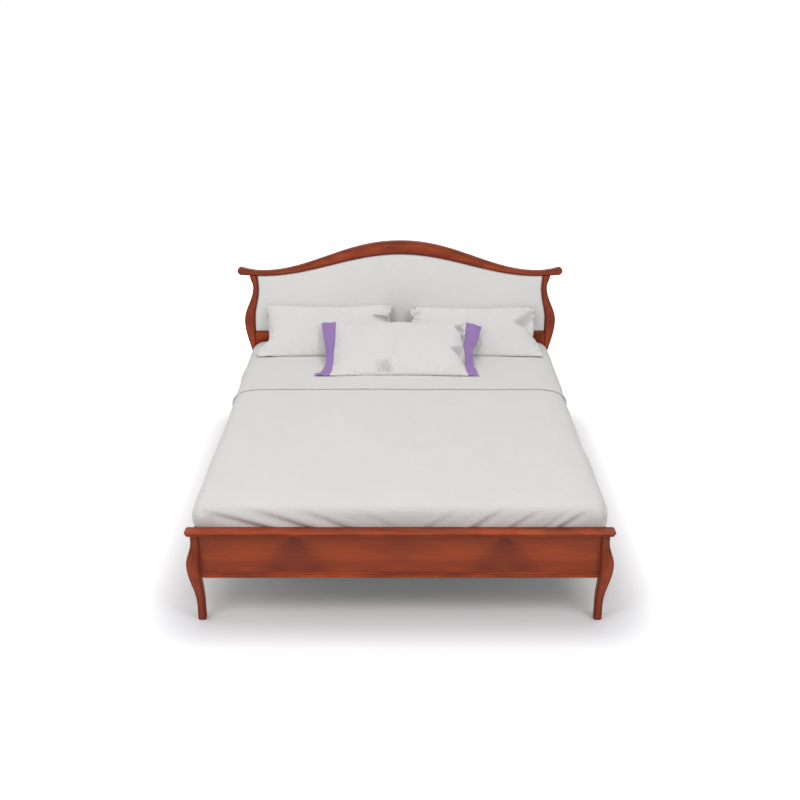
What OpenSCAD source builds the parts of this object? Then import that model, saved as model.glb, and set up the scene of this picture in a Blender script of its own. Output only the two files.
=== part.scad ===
// Upholstered double bed with an arched crest rail, cabriole legs, slats and bedding
// +X is to the right seen from the foot, +Y runs to the headboard, +Z is up, the floor is at zero

/* [Mattress] */
// Width of the mattress
mattress_w = 1600; // [1500:10:1700]
// Length of the mattress
mattress_l = 2000; // [1900:10:2100]
// Thickness of the mattress
mattress_t = 215; // [200:1:230]
// Corner radius of the mattress in plan
mattress_r = 50; // [40:1:60]
// Room between the mattress and each side rail, where the duvet is tucked
side_gap = 15; // [13:1:18]
// Room between the mattress and the footboard or the headboard
end_gap = 25; // [24:1:34]

/* [Side rails] */
// Thickness of a side rail
rail_t = 28; // [26:1:29]
// Height of a side rail
rail_h = 191; // [183:1:199]
// Height of the rails' underside above the floor
rail_z = 204; // [197:1:210]
// How far a rail's inner face stands outside the legs' inner faces
rail_setback = 3; // [2:1:4]

/* [Legs] */
// Height of the flat part of a leg's ankle
ankle_z = 72; // [56:1:96]
// Height of the knee, where a leg is widest
knee_z = 275; // [258:1:293]
// Height of the narrow waist above the knee
waist_z = 372; // [362:1:382]
// Reach of the foot outside the leg's inner plane
foot_out = 26; // [24:1:30]
// Reach of the foot inside the leg's inner plane
foot_in = 7; // [4:1:9]
// Reach of the knee outside the inner plane
knee_out = 53; // [49:1:57]
// Reach of the waist outside the inner plane
waist_out = 33; // [32:1:36]
// Diameter of the glide under each foot
glide_d = 24; // [18:1:28]
// Height of that glide
glide_h = 3; // [2:0.5:5]

/* [Footboard] */
// Height of the cap's top above the floor
cap_z = 425; // [421:1:435]
// Thickness of the rounded cap plate
cap_t = 15; // [12:1:18]
// Depth of the cap plate from front to back
cap_d = 50; // [46:1:56]
// Overhang of the cap plate past the legs' waist
cap_over = 21; // [16:1:26]
// Height of the fillet strip under the cap plate
strip_h = 7; // [5:1:9]
// How far the strip stands back from the plate's edge
strip_back = 7; // [5:1:9]
// Thickness of the footboard panel
panel_t = 22; // [18:1:26]
// Height of the rail along the panel's bottom edge
bead_rail_h = 21; // [18:1:26]
// Diameter of the bead on top of that rail
bead_d = 8; // [6:1:10]
// How far that rail stands in front of the panel
bead_proud = 5; // [3:1:6]

/* [Headboard] */
// Underside of the crest rail above the posts
crest_under_z = 907; // [895:1:925]
// Rise of the crest's underside at the middle
crest_under_rise = 125; // [100:1:150]
// Thickness of the crest rail above the posts
crest_end_t = 28.5; // [26:0.5:34]
// Extra thickness of the crest rail at the middle
crest_mid_extra = 46; // [30:1:60]
// Depth of the crest rail from front to back
crest_d = 46; // [46:1:54]
// Distance from the posts' inner plane in to the lowest point of the crest
crest_dip_in = 35; // [28:1:48]
// Distance from the posts' inner plane out to the centre of the rounded end
crest_end_out = 84; // [76:1:92]
// Radius of the crest's rounded end
crest_end_r = 22; // [20:1:24]
// Height of the rounded end's centre over the crest's underside
crest_end_up = 26; // [24:1:28]
// Height at which a post is widest
post_belly_z = 640; // [625:1:665]
// Reach of that widest place outside the inner plane
post_belly_out = 79; // [68:1:86]
// Height of the narrow place near the top of a post
post_neck_z = 845; // [825:1:865]
// Reach of that narrow place outside the inner plane
post_neck_out = 22; // [20:1:27]
// How far a post's inner edge stands outside the inner plane beside the lower rail
post_shoulder = 20; // [16:1:24]
// Depth of a post from front to back at its top
post_d = 45; // [44:1:46]
// Top of the lower rail above the floor
low_rail_z = 579; // [570:1:590]
// Height of the lower rail
low_rail_h = 120; // [115:1:125]
// Thickness of the lower rail and of the bottom rail
cross_t = 24; // [22:1:28]
// Height of the hidden bottom rail
tie_h = 70; // [66:1:76]
// Room round the upholstered panel
pad_gap = 0.5; // [0.3:0.1:1]
// How far the upholstery stands back from the posts' front faces
pad_back = 4; // [3:1:6]
// Thickness of the headboard's cover
cover_t = 2; // [1.5:0.5:3]
// Thickness of the headboard's foam
foam_t = 22; // [18:1:23]
// Thickness of the plywood backboard
board_t = 12; // [9:1:13]
// Thickness of the cloth on the back
rear_cover_t = 1.5; // [1:0.5:2]

/* [Slat base] */
// Number of slats
slat_count = 14; // [10:1:14]
// Width of a slat
slat_w = 90; // [80:1:96]
// Thickness of a slat
slat_t = 18; // [16:1:20]
// Height of the slats' tops above the floor
slat_top_z = 287; // [285:1:289]
// Distance from each end of the bed to the middle of the first slat
slat_margin = 65; // [60:1:80]
// Width of a ledge
ledge_w = 25; // [22:1:30]
// Height of a ledge
ledge_h = 30; // [26:1:32]
// Width of the centre beam
beam_w = 60; // [50:1:70]
// Height of the centre beam
beam_h = 40; // [36:1:42]
// Thickness of the steel in hangers and leg plates
steel_t = 3; // [2:0.5:3]
// Length of the beam that a hanger holds
hanger_d = 34; // [28:1:44]
// Distance of each centre leg from the middle of the bed
centre_leg_y = 330; // [250:5:400]
// Diameter of a centre leg
centre_leg_d = 38; // [34:1:44]
// Diameter of a levelling foot's pad
pad_d = 50; // [44:1:60]
// Height of that pad
pad_h = 10; // [8:1:14]
// Diameter of the levelling stud
stud_d = 10; // [8:1:12]
// Length of the levelling stud above its pad
stud_l = 60; // [50:1:70]

/* [Fasteners] */
// Diameter of the dowels
dowel_d = 10; // [8:1:10]
// Length of the dowels
dowel_l = 40; // [36:1:40]
// Diameter of the screws
screw_d = 4; // [3.5:0.1:4.5]
// Length of the long screws
screw_l = 40; // [34:1:44]
// Length of the short screws
short_screw_l = 22; // [18:1:24]
// Width of the hook and slot plates
plate_w = 20; // [18:1:22]
// Height of the hook and slot plates
plate_h = 110; // [108:1:114]
// Thickness of the hooks
hook_t = 4; // [3:0.5:5]

/* [Bedding] */
// Thickness of the fitted sheet
sheet_t = 1.5; // [1:0.5:2]
// Thickness of the duvet on top of the mattress
duvet_t = 18; // [16:1:24]
// How far the duvet swells past the rails' inner faces
duvet_swell = 36; // [30:1:40]
// Depth of the folds in the duvet's foot
duvet_fold = 7; // [3:1:8]
// Thickness of the turned-down sheet, with the air in it
turned_t = 4.5; // [3:0.5:6]
// Distance from the footboard's inner face to the turned-down sheet's edge
turned_from = 1278; // [1200:5:1290]

/* [Pillows] */
// Width of a pillow
pillow_w = 760; // [720:5:765]
// Depth of a back pillow along its curve
back_pillow_d = 370; // [360:5:380]
// Thickness of a back pillow
back_pillow_t = 160; // [140:5:160]
// Room between a back pillow's outer end and the mattress's side
back_pillow_in = 0; // [0:1:15]
// Least room between the two back pillows
back_pillow_between = 20; // [10:1:40]
// Distance from the headboard to a back pillow's front edge
back_pillow_from = 281; // [276:1:282]
// Depth of the front pillow along its curve
front_pillow_d = 440; // [400:5:440]
// Thickness of the front pillow
front_pillow_t = 150; // [130:5:150]
// Distance from the headboard to the front pillow's front edge
front_pillow_from = 592; // [592:1:640]
// Width of the bands at the front pillow's ends
band_w = 58; // [40:1:70]
// How far a pillow's sides draw in between its corners
draw_in = 16; // [8:1:22]

/* [Hidden] */
two_digits = function (n) n < 10 ? str("0", n) : str(n);
slat_names = [for (i = [1 : slat_count]) str("slat_", two_digits(i))];

// Colours
red_wood = "#8a4331";
pale_wood = "#d9bd8f";
steel = "#a9adb2";
cloth = "#dcdcd8";
purple_cloth = "#9c84bb";
rubber = "#4a4642";

// Clearances
soft_gap = 0.4;   // soft solid to its neighbour
fit = 0.05;       // radial, pin in its hole
seat = 0.3;       // loose pieces on their seats
over = 1;         // cuts run this far past the faces they open

// Main planes: legs' inner faces across the bed, and the ends' inner faces along it
leg_x = mattress_w / 2 + side_gap - rail_setback;
end_y = mattress_l / 2 + end_gap;
rail_x = leg_x + rail_setback;
rail_top_z = rail_z + rail_h;
leg_top_z = cap_z - cap_t - strip_h;
slat_z = slat_top_z - slat_t;
curve_steps = 8;

// Raised cosine from 0 to 1
function ease(s) = (1 - cos(180 * min(1, max(0, s)))) / 2;

// Points along a profile that eases from each [height, reach] station to the next
function eased(stations) = [
    for (i = [0 : len(stations) - 2])
        let (a = stations[i], b = stations[i + 1], n = a[1] == b[1] ? 1 : curve_steps)
            for (k = [0 : n - 1]) [a[1] + (b[1] - a[1]) * ease(k / n), a[0] + (b[0] - a[0]) * k / n],
    let (e = stations[len(stations) - 1]) [e[1], e[0]]
];
function backwards(p) = [for (i = [len(p) - 1 : -1 : 0]) p[i]];
function reach_at(stations, z) =
    let (found = [for (i = [0 : len(stations) - 2]) if (z >= stations[i][0] && z <= stations[i + 1][0]) i])
    let (a = stations[found[0]], b = stations[found[0] + 1])
    a[1] + (b[1] - a[1]) * ease((z - a[0]) / (b[0] - a[0]));

// Leg profiles as [height, reach], seen from the front and from the side alike
leg_outer = [
    [glide_h, foot_out], [ankle_z, foot_out], [knee_z, knee_out],
    [waist_z, waist_out], [leg_top_z, waist_out]
];
leg_inner_low = [
    for (k = [0 : curve_steps])
        [-foot_in * cos(90 * k / curve_steps), ankle_z + (rail_z - ankle_z) * k / curve_steps]
];
function leg_inner(top_z) = concat([[-foot_in, glide_h]], leg_inner_low, [[0, top_z]]);

// Post profiles: the lower part is the leg's
post_top_z = crest_under_z - 0.2;
post_top_in = -5;
post_top_out = 37;
post_neck_in = -8;
post_front_outer = [
    [glide_h, foot_out], [ankle_z, foot_out], [knee_z, knee_out], [waist_z, waist_out],
    [post_belly_z, post_belly_out], [post_neck_z, post_neck_out], [post_top_z, post_top_out]
];
shoulder_z = low_rail_z - low_rail_h;
shoulder_from = 8;      // the inner edge starts to leave the inner plane this far over the rails
shoulder_hold = 66;     // and runs straight this far over the lower rail
neck_inner_below = 5;   // its narrow place lies this far below the outer one
post_front_inner = [
    [rail_top_z + shoulder_from, 0], [shoulder_z, post_shoulder],
    [low_rail_z + shoulder_hold, post_shoulder],
    [post_neck_z - neck_inner_below, post_neck_in], [post_top_z, post_top_in]
];
post_swell = 5;
post_side_outer = [
    [glide_h, foot_out], [ankle_z, foot_out], [knee_z, knee_out], [waist_z, waist_out],
    [post_belly_z, post_d + post_swell], [post_top_z, post_d]
];

// Crest rail: its underside and top over the bed's middle line, then the turned-up ends
dip_x = leg_x - crest_dip_in;
end_x = leg_x + crest_end_out;
arch_warp = 1.07;
end_turn = 4;
function arch(x, warp) = 1 - ease(pow(min(1, abs(x) / dip_x), warp));
function past_dip(x) = max(0, (abs(x) - dip_x) / (end_x - dip_x));
function crest_under(x) = crest_under_z + crest_under_rise * arch(x, 1) + end_turn * pow(past_dip(x), 2);
end_rise = crest_end_up + crest_end_r - crest_end_t;
function crest_top(x) = crest_under_z + crest_end_t
    + (crest_under_rise + crest_mid_extra) * arch(x, arch_warp) + end_rise * pow(past_dip(x), 2);
crest_steps = 48;
crest_xs = [for (k = [-crest_steps : crest_steps]) end_x * k / crest_steps];
end_arc = 10;

// Stands a drawing in X and Z up between two planes across the bed
module upright(y0, y1) {
    translate([0, y1, 0]) rotate([90, 0, 0]) linear_extrude(y1 - y0) children();
}

// Stands a drawing in Y and Z up between two planes along the bed
module sideways(x0, x1) {
    translate([x0, 0, 0]) rotate([90, 0, 90]) linear_extrude(x1 - x0) children();
}

// Puts a corner piece at one corner: in it +X and +Y point out of the bed
module at_corner(sx, sy) {
    translate([sx * leg_x, sy * end_y, 0])
        mirror([sx < 0 ? 1 : 0, 0, 0]) mirror([0, sy < 0 ? 1 : 0, 0]) children();
}
module at_corners() {
    for (sx = [-1, 1]) for (sy = [-1, 1]) at_corner(sx, sy) children();
}

// Fasteners along +Z from their head or lower end
module dowel(extra) {
    translate([0, 0, -extra]) cylinder(d = dowel_d + 2 * extra, h = dowel_l + 2 * extra, $fn = 32);
}
head_h = screw_d * 0.6;
module screw(length, extra) {
    union() {
        translate([0, 0, -extra])
            cylinder(r1 = screw_d + extra, r2 = screw_d / 2 + extra, h = head_h, $fn = 32);
        cylinder(d = screw_d + 2 * extra, h = length + extra, $fn = 32);
    }
}

// Dowels: at the four corners and at the posts' tops
cap_dowel_in = 17;
dowel_cover = 3;        // wood left over the cap's dowels
dowel_edge = 25;        // from the panel's upper and lower edges
dowel_in_leg = 12;      // how deep the cross pieces' dowels reach into legs and posts
crest_dowel_up = 19;    // how deep the posts' dowels reach into the crest
cross_mid = cross_t / 2;
low_rail_mid = low_rail_z - low_rail_h / 2;
post_dowel_ys = [post_d / 4, 3 * post_d / 4];
module leg_dowels(extra) {
    translate([cap_dowel_in, cap_dowel_in, cap_z - dowel_cover - dowel_l]) dowel(extra);
    for (z = [panel_z + dowel_edge, leg_top_z - dowel_edge])
        translate([dowel_in_leg - dowel_l, panel_t / 2, z]) rotate([0, 90, 0]) dowel(extra);
}
module post_dowels(extra) {
    for (y = post_dowel_ys)
        translate([(post_top_in + post_top_out) / 2, y, crest_under_z + crest_dowel_up - dowel_l])
            dowel(extra);
    for (z = [low_rail_mid - low_rail_h / 4, low_rail_mid + low_rail_h / 4])
        translate([post_shoulder - dowel_l / 2, pad_back + cross_mid, z]) rotate([0, 90, 0]) dowel(extra);
    for (z = [rail_z + tie_h / 4, rail_z + 3 * tie_h / 4])
        translate([dowel_in_leg - dowel_l, cross_mid, z]) rotate([0, 90, 0]) dowel(extra);
}

// Hook and slot plates that join a side rail to a leg or post, in a corner's own axes
plate_x = rail_setback + rail_t / 2;
plate_z = rail_z + (rail_h - plate_h) / 2;
hook_first = 14;        // lowest hook above the plate's lower edge
hook_pitch = 52;
plate_screw_edge = 5.5;
hook_zs = [for (k = [0, 1]) plate_z + hook_first + k * hook_pitch];
hook_tall = 26;
hook_drop = 8;
hook_reach = 5;
plate_screw_zs = [for (k = [0, 1]) plate_z + plate_screw_edge + k * hook_pitch];
slot_room = 2;          // above the hooks, for dropping them in
module plate_blank(y0, y1, extra) {
    translate([plate_x - plate_w / 2 - extra, y0, plate_z - extra])
        cube([plate_w + 2 * extra, y1 - y0, plate_h + 2 * extra]);
}
module hook_plate() {
    plate_hooks = steel_t + hook_reach;
    difference() {
        plate_blank(-steel_t, 0, 0);
        for (z = plate_screw_zs) translate([plate_x, 0, z]) rotate([90, 0, 0]) screw(short_screw_l, fit);
    }
    for (z = hook_zs)
        sideways(plate_x - hook_t / 2, plate_x + hook_t / 2)
            polygon([
                [0, z + hook_drop], [0, z + hook_tall], [plate_hooks, z + hook_tall],
                [plate_hooks, z], [steel_t + seat, z], [steel_t + seat, z + hook_drop]
            ]);
}
module slot_plate() {
    difference() {
        plate_blank(0, steel_t, 0);
        for (z = hook_zs)
            translate([plate_x - hook_t / 2 - seat, -over, z + hook_drop - seat])
                cube([hook_t + 2 * seat, steel_t + 2 * over, hook_tall + slot_room]);
        for (z = plate_screw_zs) translate([plate_x, 0, z]) rotate([-90, 0, 0]) screw(short_screw_l, fit);
    }
}
module plate_screw_set(sy, extra) {
    for (z = plate_screw_zs)
        translate([plate_x, 0, z]) rotate([-90 * sy, 0, 0]) screw(short_screw_l, extra);
}

// What is cut out of a leg or a post for the slot plate, its screws and the hooks behind it
module slot_mortise() {
    plate_blank(-over, steel_t, 0);
    for (z = hook_zs)
        translate([plate_x - hook_t, steel_t - over, z - slot_room])
            cube([2 * hook_t, hook_reach + 2 * over, hook_tall + hook_drop + 2 * slot_room]);
    plate_screw_set(1, fit);
}

// Legs and posts in a corner's own axes
module leg_outline() {
    polygon(concat(leg_inner(leg_top_z), backwards(eased(leg_outer))));
}
module post_front_outline() {
    polygon(concat(leg_inner(rail_top_z), eased(post_front_inner), backwards(eased(post_front_outer))));
}
module post_side_outline() {
    polygon(concat(leg_inner(post_top_z), backwards(eased(post_side_outer))));
}
beyond = 120;
module leg_blank() {
    intersection() {
        upright(-beyond, beyond) leg_outline();
        sideways(-beyond, beyond) leg_outline();
    }
}
module post_blank() {
    intersection() {
        upright(-beyond, beyond) post_front_outline();
        sideways(-beyond, beyond) post_side_outline();
    }
}
module leg() {
    color(red_wood) difference() {
        leg_blank();
        slot_mortise();
        leg_dowels(fit);
    }
}
module post() {
    color(red_wood) difference() {
        post_blank();
        slot_mortise();
        post_dowels(fit);
    }
}
module left_leg() { at_corner(-1, -1) leg(); }
module right_leg() { at_corner(1, -1) leg(); }
module left_post() { at_corner(-1, 1) post(); }
module right_post() { at_corner(1, 1) post(); }
foot_mid = (foot_out - foot_in) / 2;
module foot_glides() {
    color(rubber) at_corners()
        translate([foot_mid, foot_mid, 0]) cylinder(d = glide_d, h = glide_h, $fn = 48);
}

// Headboard
end_centre_z = crest_under_z + crest_end_up;
end_round = [
    for (k = [1 : end_arc - 1])
        let (a = 90 - 180 * k / end_arc) [end_x + crest_end_r * cos(a), end_centre_z + crest_end_r * sin(a)]
];
module crest_outline() {
    polygon(concat(
        [for (x = crest_xs) [x, crest_top(x)]],
        end_round,
        backwards([for (x = crest_xs) [x, crest_under(x)]]),
        backwards([for (p = end_round) [-p[0], p[1]]])
    ));
}
module crest_rail() {
    color(red_wood) difference() {
        upright(end_y, end_y + crest_d) crest_outline();
        for (sx = [-1, 1]) at_corner(sx, 1) post_dowels(fit);
    }
}

// A board between the posts, cut to their outline
module cross_board(y0, z0, z1) {
    upright(end_y + y0, end_y + y0 + cross_t) difference() {
        translate([-leg_x - beyond, z0]) square([2 * (leg_x + beyond), z1 - z0]);
        for (sx = [-1, 1]) mirror([sx < 0 ? 1 : 0, 0]) translate([leg_x, 0]) {
            post_front_outline();
            translate([knee_out / 2, 0]) square([2 * beyond, crest_under_z]);
        }
    }
}
module headboard_lower_rail() {
    color(red_wood) difference() {
        cross_board(pad_back, shoulder_z, low_rail_z);
        for (sx = [-1, 1]) at_corner(sx, 1) post_dowels(fit);
    }
}
module headboard_bottom_rail() {
    color(red_wood) difference() {
        cross_board(0, rail_z, rail_z + tie_h);
        for (sx = [-1, 1]) at_corner(sx, 1) post_dowels(fit);
        translate([0, end_y, 0]) hanger_screw_pair(1, fit);
    }
}

// Outline of the upholstered panel: inside the posts, over the lower rail and under the crest
pad_steps = 14;
pad_clear = 0.3;
pad_z0 = low_rail_z + pad_gap;
pad_z1 = post_top_z - 2;
function pad_x(z) = leg_x + reach_at(post_front_inner, z) - pad_gap;
pad_side = [
    for (k = [0 : pad_steps]) let (z = pad_z0 + (pad_z1 - pad_z0) * k / pad_steps) [pad_x(z) - pad_clear, z]
];
pad_corner_x = pad_side[pad_steps][0];
pad_top = [
    for (k = [-crest_steps : crest_steps])
        let (x = pad_corner_x * k / crest_steps) [x, crest_under(x) - pad_gap - pad_clear]
];
module pad_layer(y0, t) {
    upright(end_y + y0, end_y + y0 + t)
        polygon(concat([for (p = pad_side) [-p[0], p[1]]], pad_top, backwards(pad_side)));
}
foam_y = pad_back + cover_t;
board_y = foam_y + foam_t;
module headboard_cover() { color(cloth) pad_layer(pad_back, cover_t); }
module headboard_foam() { color("#efe6c8") pad_layer(foam_y, foam_t); }
module headboard_backboard() { color(pale_wood) pad_layer(board_y, board_t); }
module headboard_rear_cover() { color(cloth) pad_layer(board_y + board_t, rear_cover_t); }

// Footboard
cap_x = leg_x + waist_out + cap_over;
module cap_plate(half_w, d, z0, t, r) {
    // A plate whose front and ends are rounded in section and whose front corners are rounded in plan
    translate([0, 0, z0]) union() {
        translate([-half_w + r, -end_y - d + r, 0]) cube([2 * (half_w - r), d - r, t]);
        for (sx = [-1, 1]) {
            translate([sx * (half_w - r), -end_y - d + r, r]) sphere(r = r, $fn = 32);
            translate([sx * (half_w - r), -end_y, r])
                rotate([90, 0, 0]) cylinder(r = r, h = d - r, $fn = 32);
        }
        translate([-half_w + r, -end_y - d + r, r]) rotate([0, 90, 0])
            cylinder(r = r, h = 2 * (half_w - r), $fn = 32);
    }
}
module footboard_cap() {
    color(red_wood) difference() {
        union() {
            cap_plate(cap_x, cap_d, cap_z - cap_t, cap_t, cap_t / 2);
            translate([-cap_x + strip_back, -end_y - cap_d + strip_back, leg_top_z])
                cube([2 * (cap_x - strip_back), cap_d - strip_back, strip_h + cap_t / 2]);
        }
        for (sx = [-1, 1]) at_corner(sx, -1) leg_dowels(fit);
    }
}
bead_top_z = rail_z + bead_rail_h;
panel_z = bead_top_z + bead_d / 2;
module between_legs(z0, z1) {
    difference() {
        translate([-leg_x - beyond, z0]) square([2 * (leg_x + beyond), z1 - z0]);
        for (sx = [-1, 1]) mirror([sx < 0 ? 1 : 0, 0]) translate([leg_x, 0]) {
            leg_outline();
            translate([knee_out / 2, 0]) square([2 * beyond, cap_z]);
        }
    }
}
module footboard_panel() {
    color(red_wood) difference() {
        upright(-end_y - panel_t, -end_y) between_legs(panel_z, leg_top_z);
        for (sx = [-1, 1]) at_corner(sx, -1) leg_dowels(fit);
        translate([0, -end_y, 0]) hanger_screw_pair(-1, fit);
    }
}
module footboard_bead_rail() {
    front_y = -end_y - panel_t - bead_proud;
    color(red_wood) union() {
        upright(front_y, -end_y) between_legs(rail_z, bead_top_z);
        upright(front_y + bead_d / 2, -end_y) between_legs(bead_top_z, panel_z);
        translate([-leg_x, front_y + bead_d / 2, bead_top_z]) rotate([0, 90, 0])
            cylinder(d = bead_d, h = 2 * leg_x, $fn = 32);
    }
}

// Side rails and ledges
rail_screw_count = 7;
ledge_x = rail_x - ledge_w;
ledge_z = slat_z - ledge_h;
ledge_end = 2;
ledge_screw_edge = 100;
function ledge_screw_y(k) =
    (k - (rail_screw_count - 1) / 2) * 2 * (end_y - ledge_screw_edge) / (rail_screw_count - 1);
module ledge_screw_row(sx, extra) {
    for (k = [0 : rail_screw_count - 1])
        translate([sx * ledge_x, ledge_screw_y(k), ledge_z + ledge_h / 2])
            rotate([0, 90 * sx, 0]) screw(screw_l, extra);
}
module side_rail(sx) {
    color(red_wood) difference() {
        translate([sx > 0 ? rail_x : -rail_x - rail_t, -end_y, rail_z]) cube([rail_t, 2 * end_y, rail_h]);
        for (sy = [-1, 1]) at_corner(sx, sy) {
            plate_blank(-steel_t, over, 0);
            plate_screw_set(-1, fit);
        }
        ledge_screw_row(sx, fit);
    }
}
module left_side_rail() { side_rail(-1); }
module right_side_rail() { side_rail(1); }
module ledge(sx) {
    color(pale_wood) difference() {
        translate([sx > 0 ? ledge_x : -rail_x, -end_y + ledge_end, ledge_z])
            cube([ledge_w, 2 * (end_y - ledge_end), ledge_h]);
        ledge_screw_row(sx, fit);
        slat_screw_row(sx, fit);
    }
}
module left_ledge() { ledge(-1); }
module right_ledge() { ledge(1); }

// Slats, from the foot to the head
function slat_y(i) = -end_y + slat_margin + (2 * (end_y - slat_margin)) * (i - 1) / (slat_count - 1);
slat_end_gap = 2;
slat_half = rail_x - slat_end_gap;
module slat_screw_row(sx, extra) {
    for (i = [1 : slat_count])
        translate([sx * (rail_x - ledge_w / 2), slat_y(i) + slat_w / 4, slat_top_z])
            rotate([180, 0, 0]) screw(screw_l, extra);
}
module slat(i) {
    color(pale_wood) difference() {
        translate([-slat_half, slat_y(i) - slat_w / 2, slat_z]) cube([2 * slat_half, slat_w, slat_t]);
        for (sx = [-1, 1])
            translate([sx * (rail_x - ledge_w / 2), slat_y(i) + slat_w / 4, slat_top_z])
                rotate([180, 0, 0]) screw(screw_l, fit);
    }
}

// Centre beam, its hangers and its legs
beam_z = slat_z - beam_h;
hanger_w = beam_w + 2 * steel_t + 2 * seat;
hanger_ear = 26;
hanger_z = beam_z - steel_t;
hanger_screw_x = hanger_w / 2 + hanger_ear / 2;
hanger_screw_up = 8;
hanger_screw_z = panel_z + hanger_screw_up;
hanger_screw_l = 17;
hanger_below = 2;       // how far the hangers stop below the slats
beam_end_gap = 0.5;
module hanger_screw_pair(sy, extra) {
    for (sx = [-1, 1])
        translate([sx * hanger_screw_x, -sy * steel_t, hanger_screw_z])
            rotate([-90 * sy, 0, 0]) screw(hanger_screw_l, extra);
}
module centre_beam() {
    half_l = end_y - steel_t - beam_end_gap;
    color(pale_wood) difference() {
        translate([-beam_w / 2, -half_l, beam_z]) cube([beam_w, 2 * half_l, beam_h]);
        for (sy = [-1, 1]) centre_leg_screw_pair(sy, fit);
    }
}
module beam_hanger(sy) {
    color(steel) difference() {
        mirror([0, sy < 0 ? 1 : 0, 0]) translate([0, end_y, 0]) union() {
            translate([-hanger_w / 2 - hanger_ear, -steel_t, hanger_z])
                cube([hanger_w + 2 * hanger_ear, steel_t, slat_z - hanger_z - hanger_below]);
            translate([-hanger_w / 2, -hanger_d, hanger_z]) cube([hanger_w, hanger_d, steel_t]);
            for (sx = [-1, 1])
                translate([sx > 0 ? hanger_w / 2 - steel_t : -hanger_w / 2, -hanger_d, hanger_z])
                    cube([steel_t, hanger_d, slat_z - hanger_z - hanger_below]);
        }
        translate([0, sy * end_y, 0]) hanger_screw_pair(sy, fit);
    }
}
module front_beam_hanger() { beam_hanger(-1); }
module rear_beam_hanger() { beam_hanger(1); }
leg_plate_l = 96;
leg_plate_edge = 2;     // the plate stops this far inside the beam's sides
stud_room = 2;
leg_screw_y = 36;
foot_stop = 0.2;
module centre_leg_screw_pair(sy, extra) {
    for (d = [-1, 1])
        translate([0, sy * centre_leg_y + d * leg_screw_y, beam_z - steel_t]) screw(short_screw_l, extra);
}
module centre_leg(sy) {
    leg_bottom_z = pad_h + foot_stop;
    color(steel) difference() {
        union() {
            translate([-beam_w / 2 + leg_plate_edge, sy * centre_leg_y - leg_plate_l / 2, beam_z - steel_t])
                cube([beam_w - 2 * leg_plate_edge, leg_plate_l, steel_t]);
            translate([0, sy * centre_leg_y, leg_bottom_z])
                cylinder(d = centre_leg_d, h = beam_z - steel_t / 2 - leg_bottom_z, $fn = 64);
        }
        translate([0, sy * centre_leg_y, leg_bottom_z - over])
            cylinder(d = stud_d + 2 * fit, h = stud_l + over + stud_room, $fn = 48);
        centre_leg_screw_pair(sy, fit);
    }
}
module front_centre_leg() { centre_leg(-1); }
module rear_centre_leg() { centre_leg(1); }
module levelling_foot(sy) {
    color(rubber) translate([0, sy * centre_leg_y, 0]) union() {
        cylinder(d = pad_d, h = pad_h, $fn = 64);
        cylinder(d = stud_d, h = pad_h + stud_l, $fn = 48);
    }
}
module front_levelling_foot() { levelling_foot(-1); }
module rear_levelling_foot() { levelling_foot(1); }

// Groups of like fasteners
module hook_plates() { color(steel) at_corners() hook_plate(); }
module slot_plates() { color(steel) at_corners() slot_plate(); }
module frame_dowels() {
    color(pale_wood) {
        for (sx = [-1, 1]) at_corner(sx, -1) leg_dowels(0);
        for (sx = [-1, 1]) at_corner(sx, 1) post_dowels(0);
    }
}
module plate_screws() {
    color(steel) at_corners() for (sy = [-1, 1]) plate_screw_set(sy, 0);
}
module ledge_screws() { color(steel) for (sx = [-1, 1]) ledge_screw_row(sx, 0); }
module slat_screws() { color(steel) for (sx = [-1, 1]) slat_screw_row(sx, 0); }
module hanger_screws() {
    color(steel) for (sy = [-1, 1]) translate([0, sy * end_y, 0]) hanger_screw_pair(sy, 0);
}
module centre_leg_screws() { color(steel) for (sy = [-1, 1]) centre_leg_screw_pair(sy, 0); }

// Mattress and fitted sheet
mattress_z = slat_top_z + seat;
mattress_top_z = mattress_z + mattress_t;
module rounded_block(half_w, half_l, r, z0, z1) {
    translate([0, 0, z0]) linear_extrude(z1 - z0) union() {
        square([2 * half_w, 2 * (half_l - r)], center = true);
        square([2 * (half_w - r), 2 * half_l], center = true);
        for (sx = [-1, 1]) for (sy = [-1, 1])
            translate([sx * (half_w - r), sy * (half_l - r)]) circle(r = r, $fn = 48);
    }
}
module mattress_block(grow, z0, z1) {
    rounded_block(mattress_w / 2 + grow, mattress_l / 2 + grow, mattress_r + grow, z0, z1);
}
sheet_drop = 120;
module mattress() { color("#f1efe9") mattress_block(0, mattress_z, mattress_top_z); }
module fitted_sheet() {
    color(cloth) difference() {
        mattress_block(sheet_t, mattress_top_z - sheet_drop, mattress_top_z + sheet_t);
        mattress_block(soft_gap / 4, mattress_z - over, mattress_top_z + soft_gap / 4);
    }
}

// Skins a stack of rings of equal length, each anticlockwise seen from the stack's far end. The two end
// faces are closed as they are, or as fans round a middle point each
module skin(rings, middles = []) {
    n = len(rings[0]);
    last = (len(rings) - 1) * n;
    fans = len(middles) == 2;
    ends = fans
        ? [
            for (j = [0 : n - 1])
                let (k = (j + 1) % n) each [[last + n, j, k], [last + n + 1, last + k, last + j]]
        ]
        : [[for (j = [0 : n - 1]) j], [for (j = [n - 1 : -1 : 0]) last + j]];
    sides = [
        for (i = [0 : len(rings) - 2]) for (j = [0 : n - 1])
            let (a = i * n + j, b = i * n + (j + 1) % n)
                each [[a, a + n, b + n], [a, b + n, b]]
    ];
    polyhedron(
        points = concat([for (r = rings) each r], middles), faces = concat(ends, sides), convexity = 6
    );
}

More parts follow.
